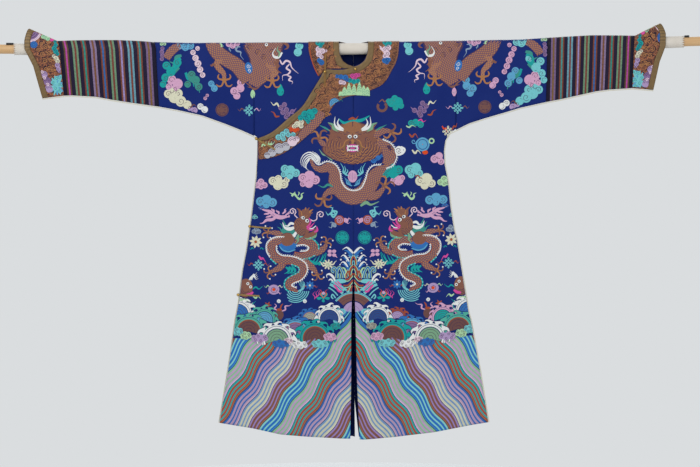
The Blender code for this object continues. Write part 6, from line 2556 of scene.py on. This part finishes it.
class RobeSizes(bpy.types.PropertyGroup):
    """Colours and sizes that a user would change."""

    navy: bpy.props.FloatVectorProperty(
        name="Ground", description="Dye of the robe's silk", subtype="COLOR", size=4,
        min=0.0, max=1.0, default=linear("#122366"),
    )
    floor_radius: bpy.props.FloatProperty(
        name="Floor", description="Radius of the pale floor", default=1.25, unit="LENGTH",
    )
    camera_distance: bpy.props.FloatProperty(
        name="Camera distance", description="From the robe to the camera", default=8.0,
        unit="LENGTH",
    )


class ROBE_OT_body(bpy.types.Operator):
    """Makes the two lengths of silk and the front flap"""

    bl_idname = "robe.body"
    bl_label = "Body"

    def execute(self, context):
        looks = make_looks(context.scene.robe_sizes)
        body_half("robe_left", True, looks)
        body_half("robe_right", False, looks)
        flap(looks)
        return {"FINISHED"}


class ROBE_OT_sleeves(bpy.types.Operator):
    """Makes the sleeves, their striped lengths, the cuffs and the gold edging"""

    bl_idname = "robe.sleeves"
    bl_label = "Sleeves"

    def execute(self, context):
        looks = make_looks(context.scene.robe_sizes)
        edges, shades = stripe_stations()
        for name, seams, left in (("right", SEAMS_RIGHT, False), ("left", SEAMS_LEFT, True)):
            out = 1.0 if left else -1.0
            gap = out * SEAM / 2
            line = lambda which, shift: seam_line(seams, which, shift)
            silk = [looks["silk"], looks["lining"]]
            sleeve(f"sleeve_{name}", f"sleeve_upper_{name}", seams, line("armhole", gap), line("stripes", -gap),
                   left, silk, np.linspace(0.0, 1.0, 40))
            sleeve(f"sleeve_{name}_stripes", f"sleeve_striped_{name}", seams, line("stripes", gap),
                   line("cuff", -gap), left, [looks["striped"], looks["lining"]], edges,
                   colours=shades)
            sleeve(f"sleeve_{name}_cuff", f"cuff_{name}", seams, line("cuff", gap),
                   line("rim", -out * CUFF_EDGING), left, [looks["cuff"], looks["lining"]],
                   np.linspace(0.0, 1.0, 16))
            sleeve(f"cuff_{name}_ribbon", f"cuff_edging_{name}", seams, line("rim", -out * (CUFF_EDGING - SEAM)),
                   line("rim", 0.0), left, [looks["edging"], looks["edging"]],
                   np.linspace(0.0, 1.0, 5),
                   shell=WALL)
        return {"FINISHED"}


class ROBE_OT_collar(bpy.types.Operator):
    """Makes the gold ribbon and the dark band round the neck and along the flap"""

    bl_idname = "robe.collar"
    bl_label = "Collar"

    def execute(self, context):
        collar_pieces(make_looks(context.scene.robe_sizes))
        return {"FINISHED"}


FINISHES = {
    "piping_left": "piping", "piping_right": "piping", "rod": "wood",
    "rod_clip_left": "black", "rod_clip_right": "black",
    "button_neck": "gilt", "button_collar_corner": "gilt", "button_underarm": "gilt",
    "button_side": "gilt", "button_lower_side": "gilt",
}


class ROBE_OT_loops(bpy.types.Operator):
    """Makes the four silk cord loops round the ball buttons"""

    bl_idname = "robe.loops"
    bl_label = "Loops"

    def execute(self, context):
        looks = make_looks(context.scene.robe_sizes)
        for name, (start, end, level, bend) in LOOPS.items():
            loop_cord(
                name, start, end, level, bend,
                looks["dull_cord" if name == "collar_corner" else "cord"]
            )
        return {"FINISHED"}


class ROBE_OT_rod(bpy.types.Operator):
    """Makes the muslin padding and gives the rod, clips, cords and buttons their finish"""

    bl_idname = "robe.rod"
    bl_label = "Rod and trim"

    def execute(self, context):
        looks = make_looks(context.scene.robe_sizes)
        padding(looks)
        for node, look in FINISHES.items():
            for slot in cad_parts[node].material_slots:
                slot.material = looks[look]
        return {"FINISHED"}


class ROBE_OT_brocade(bpy.types.Operator):
    """Weaves the dragons, clouds, emblems and waves into the body and the upper sleeves"""

    bl_idname = "robe.brocade"
    bl_label = "Brocade"

    def execute(self, context):
        looks = make_looks(context.scene.robe_sizes)
        centre, one_side = Chart(), Chart()
        middle(centre)
        chest_side(one_side, False)
        chest_right(one_side)
        brocade("brocade_front_right", half_chart(True), -1, False, looks)
        brocade("brocade_front_left", half_chart(False), -1, True, looks)
        brocade("brocade_front_chest", one_side, -1, False, looks)
        brocade("brocade_back_right", half_chart(True, False), 1, False, looks)
        brocade("brocade_back_left", half_chart(False), 1, True, looks)
        brocade("brocade_back_chest", one_side, 1, False, looks)
        brocade("brocade_back_chest_right", one_side, 1, True, looks)
        brocade("brocade_front_middle", centre, -1, False, looks)
        brocade("brocade_back_middle", centre, 1, False, looks)
        collar, corner = Chart(), Chart()
        collar_front(collar)
        collar_corner(corner)
        level = COLLAR_LEVEL + TRIM_SHELL / 2 + 0.1
        brocade(
            "brocade_collar", collar, -1, False, looks, "collar_silk", base=level, limit=on_collar,
            outer=True
        )
        brocade(
            "brocade_collar_corner", corner, -1, False, looks, "collar_silk", base=level,
            limit=on_collar, outer=False
        )
        cuff = cuff_chart()
        for side, word in ((-1, "front"), (1, "back")):
            brocade(
                f"brocade_cuff_right_{word}", cuff, side, False, looks, "cuff_silk", limit=on_cuff
            )
            brocade(
                f"brocade_cuff_left_{word}", shifted(cuff, 12.0, 1.5), side, True, looks,
                "cuff_silk", limit=on_cuff
            )
        return {"FINISHED"}


FLOOR_LEVEL = -1.55
CAMERA_PLACE = (-0.012, -0.637)
FRAME_WIDTH = 2.415
SENSOR = 36.0


class ROBE_OT_stage(bpy.types.Operator):
    """Sets the pale floor, the soft lights and the camera"""

    bl_idname = "robe.stage"
    bl_label = "Stage"

    def execute(self, context):
        sizes = context.scene.robe_sizes
        turn = np.arange(96) * 2.0 * math.pi / 96
        rim = sizes.floor_radius * np.stack([np.cos(turn), np.sin(turn), 0.0 * turn], -1)
        mesh = bpy.data.meshes.new("floor")
        rim[:, 2] = FLOOR_LEVEL
        mesh.from_pydata(rim.tolist(), [], [list(range(96))])
        mesh.materials.append(plain_look("pale floor paint", "#dfe2e3", 0.8))
        floor = bpy.data.objects.new("floor", mesh)
        context.scene.collection.objects.link(floor)
        world = bpy.data.worlds.new("pale room")
        world.use_nodes = True
        world.node_tree.nodes["Background"].inputs[0].default_value = linear("#dadddf")
        world.node_tree.nodes["Background"].inputs[1].default_value = 1.0
        context.scene.world = world
        lamps = (
            ("key", (-1.8, -3.2, 1.6), (60.0, 0.0, -28.0), 2.4, 50.0),
            ("fill", (2.6, -3.4, 0.2), (82.0, 0.0, 36.0), 2.6, 20.0),
            ("back", (0.4, 3.4, 1.4), (-64.0, 0.0, 6.0), 2.4, 60.0),
        )
        for name, place, angles, size, power in lamps:
            light = bpy.data.lights.new(name, "AREA")
            light.size = size
            light.energy = power
            lamp = bpy.data.objects.new(name, light)
            lamp.location = place
            lamp.rotation_euler = [math.radians(angle) for angle in angles]
            context.scene.collection.objects.link(lamp)
        camera = bpy.data.cameras.new("camera")
        camera.sensor_width = SENSOR
        camera.lens = SENSOR * sizes.camera_distance / FRAME_WIDTH
        eye = bpy.data.objects.new("camera", camera)
        eye.location = (CAMERA_PLACE[0], -sizes.camera_distance, CAMERA_PLACE[1])
        eye.rotation_euler = (math.radians(90.0), 0.0, 0.0)
        context.scene.collection.objects.link(eye)
        context.scene.camera = eye
        context.scene.view_settings.view_transform = "Standard"
        return {"FINISHED"}


class ROBE_PT_panel(bpy.types.Panel):
    """Lists the robe's steps in the sidebar"""

    bl_idname = "ROBE_PT_panel"
    bl_label = "Court robe"
    bl_space_type = "VIEW_3D"
    bl_region_type = "UI"
    bl_category = "Robe"

    def draw(self, context):
        sizes = context.scene.robe_sizes
        for name in ("navy", "floor_radius", "camera_distance"):
            self.layout.prop(sizes, name)
        for step in STEPS:
            self.layout.operator(step.bl_idname)


STEPS = (
    ROBE_OT_body, ROBE_OT_sleeves, ROBE_OT_collar, ROBE_OT_brocade, ROBE_OT_loops, ROBE_OT_rod,
    ROBE_OT_stage,
)


def register():
    for made in (RobeSizes, *STEPS, ROBE_PT_panel):
        bpy.utils.register_class(made)
    bpy.types.Scene.robe_sizes = bpy.props.PointerProperty(type=RobeSizes)


def unregister():
    del bpy.types.Scene.robe_sizes
    for made in (ROBE_PT_panel, *STEPS[::-1], RobeSizes):
        bpy.utils.unregister_class(made)


def main():
    register()
    for step in STEPS:
        group, name = step.bl_idname.split(".")
        getattr(getattr(bpy.ops, group), name)()


if __name__ == "__main__":
    main()
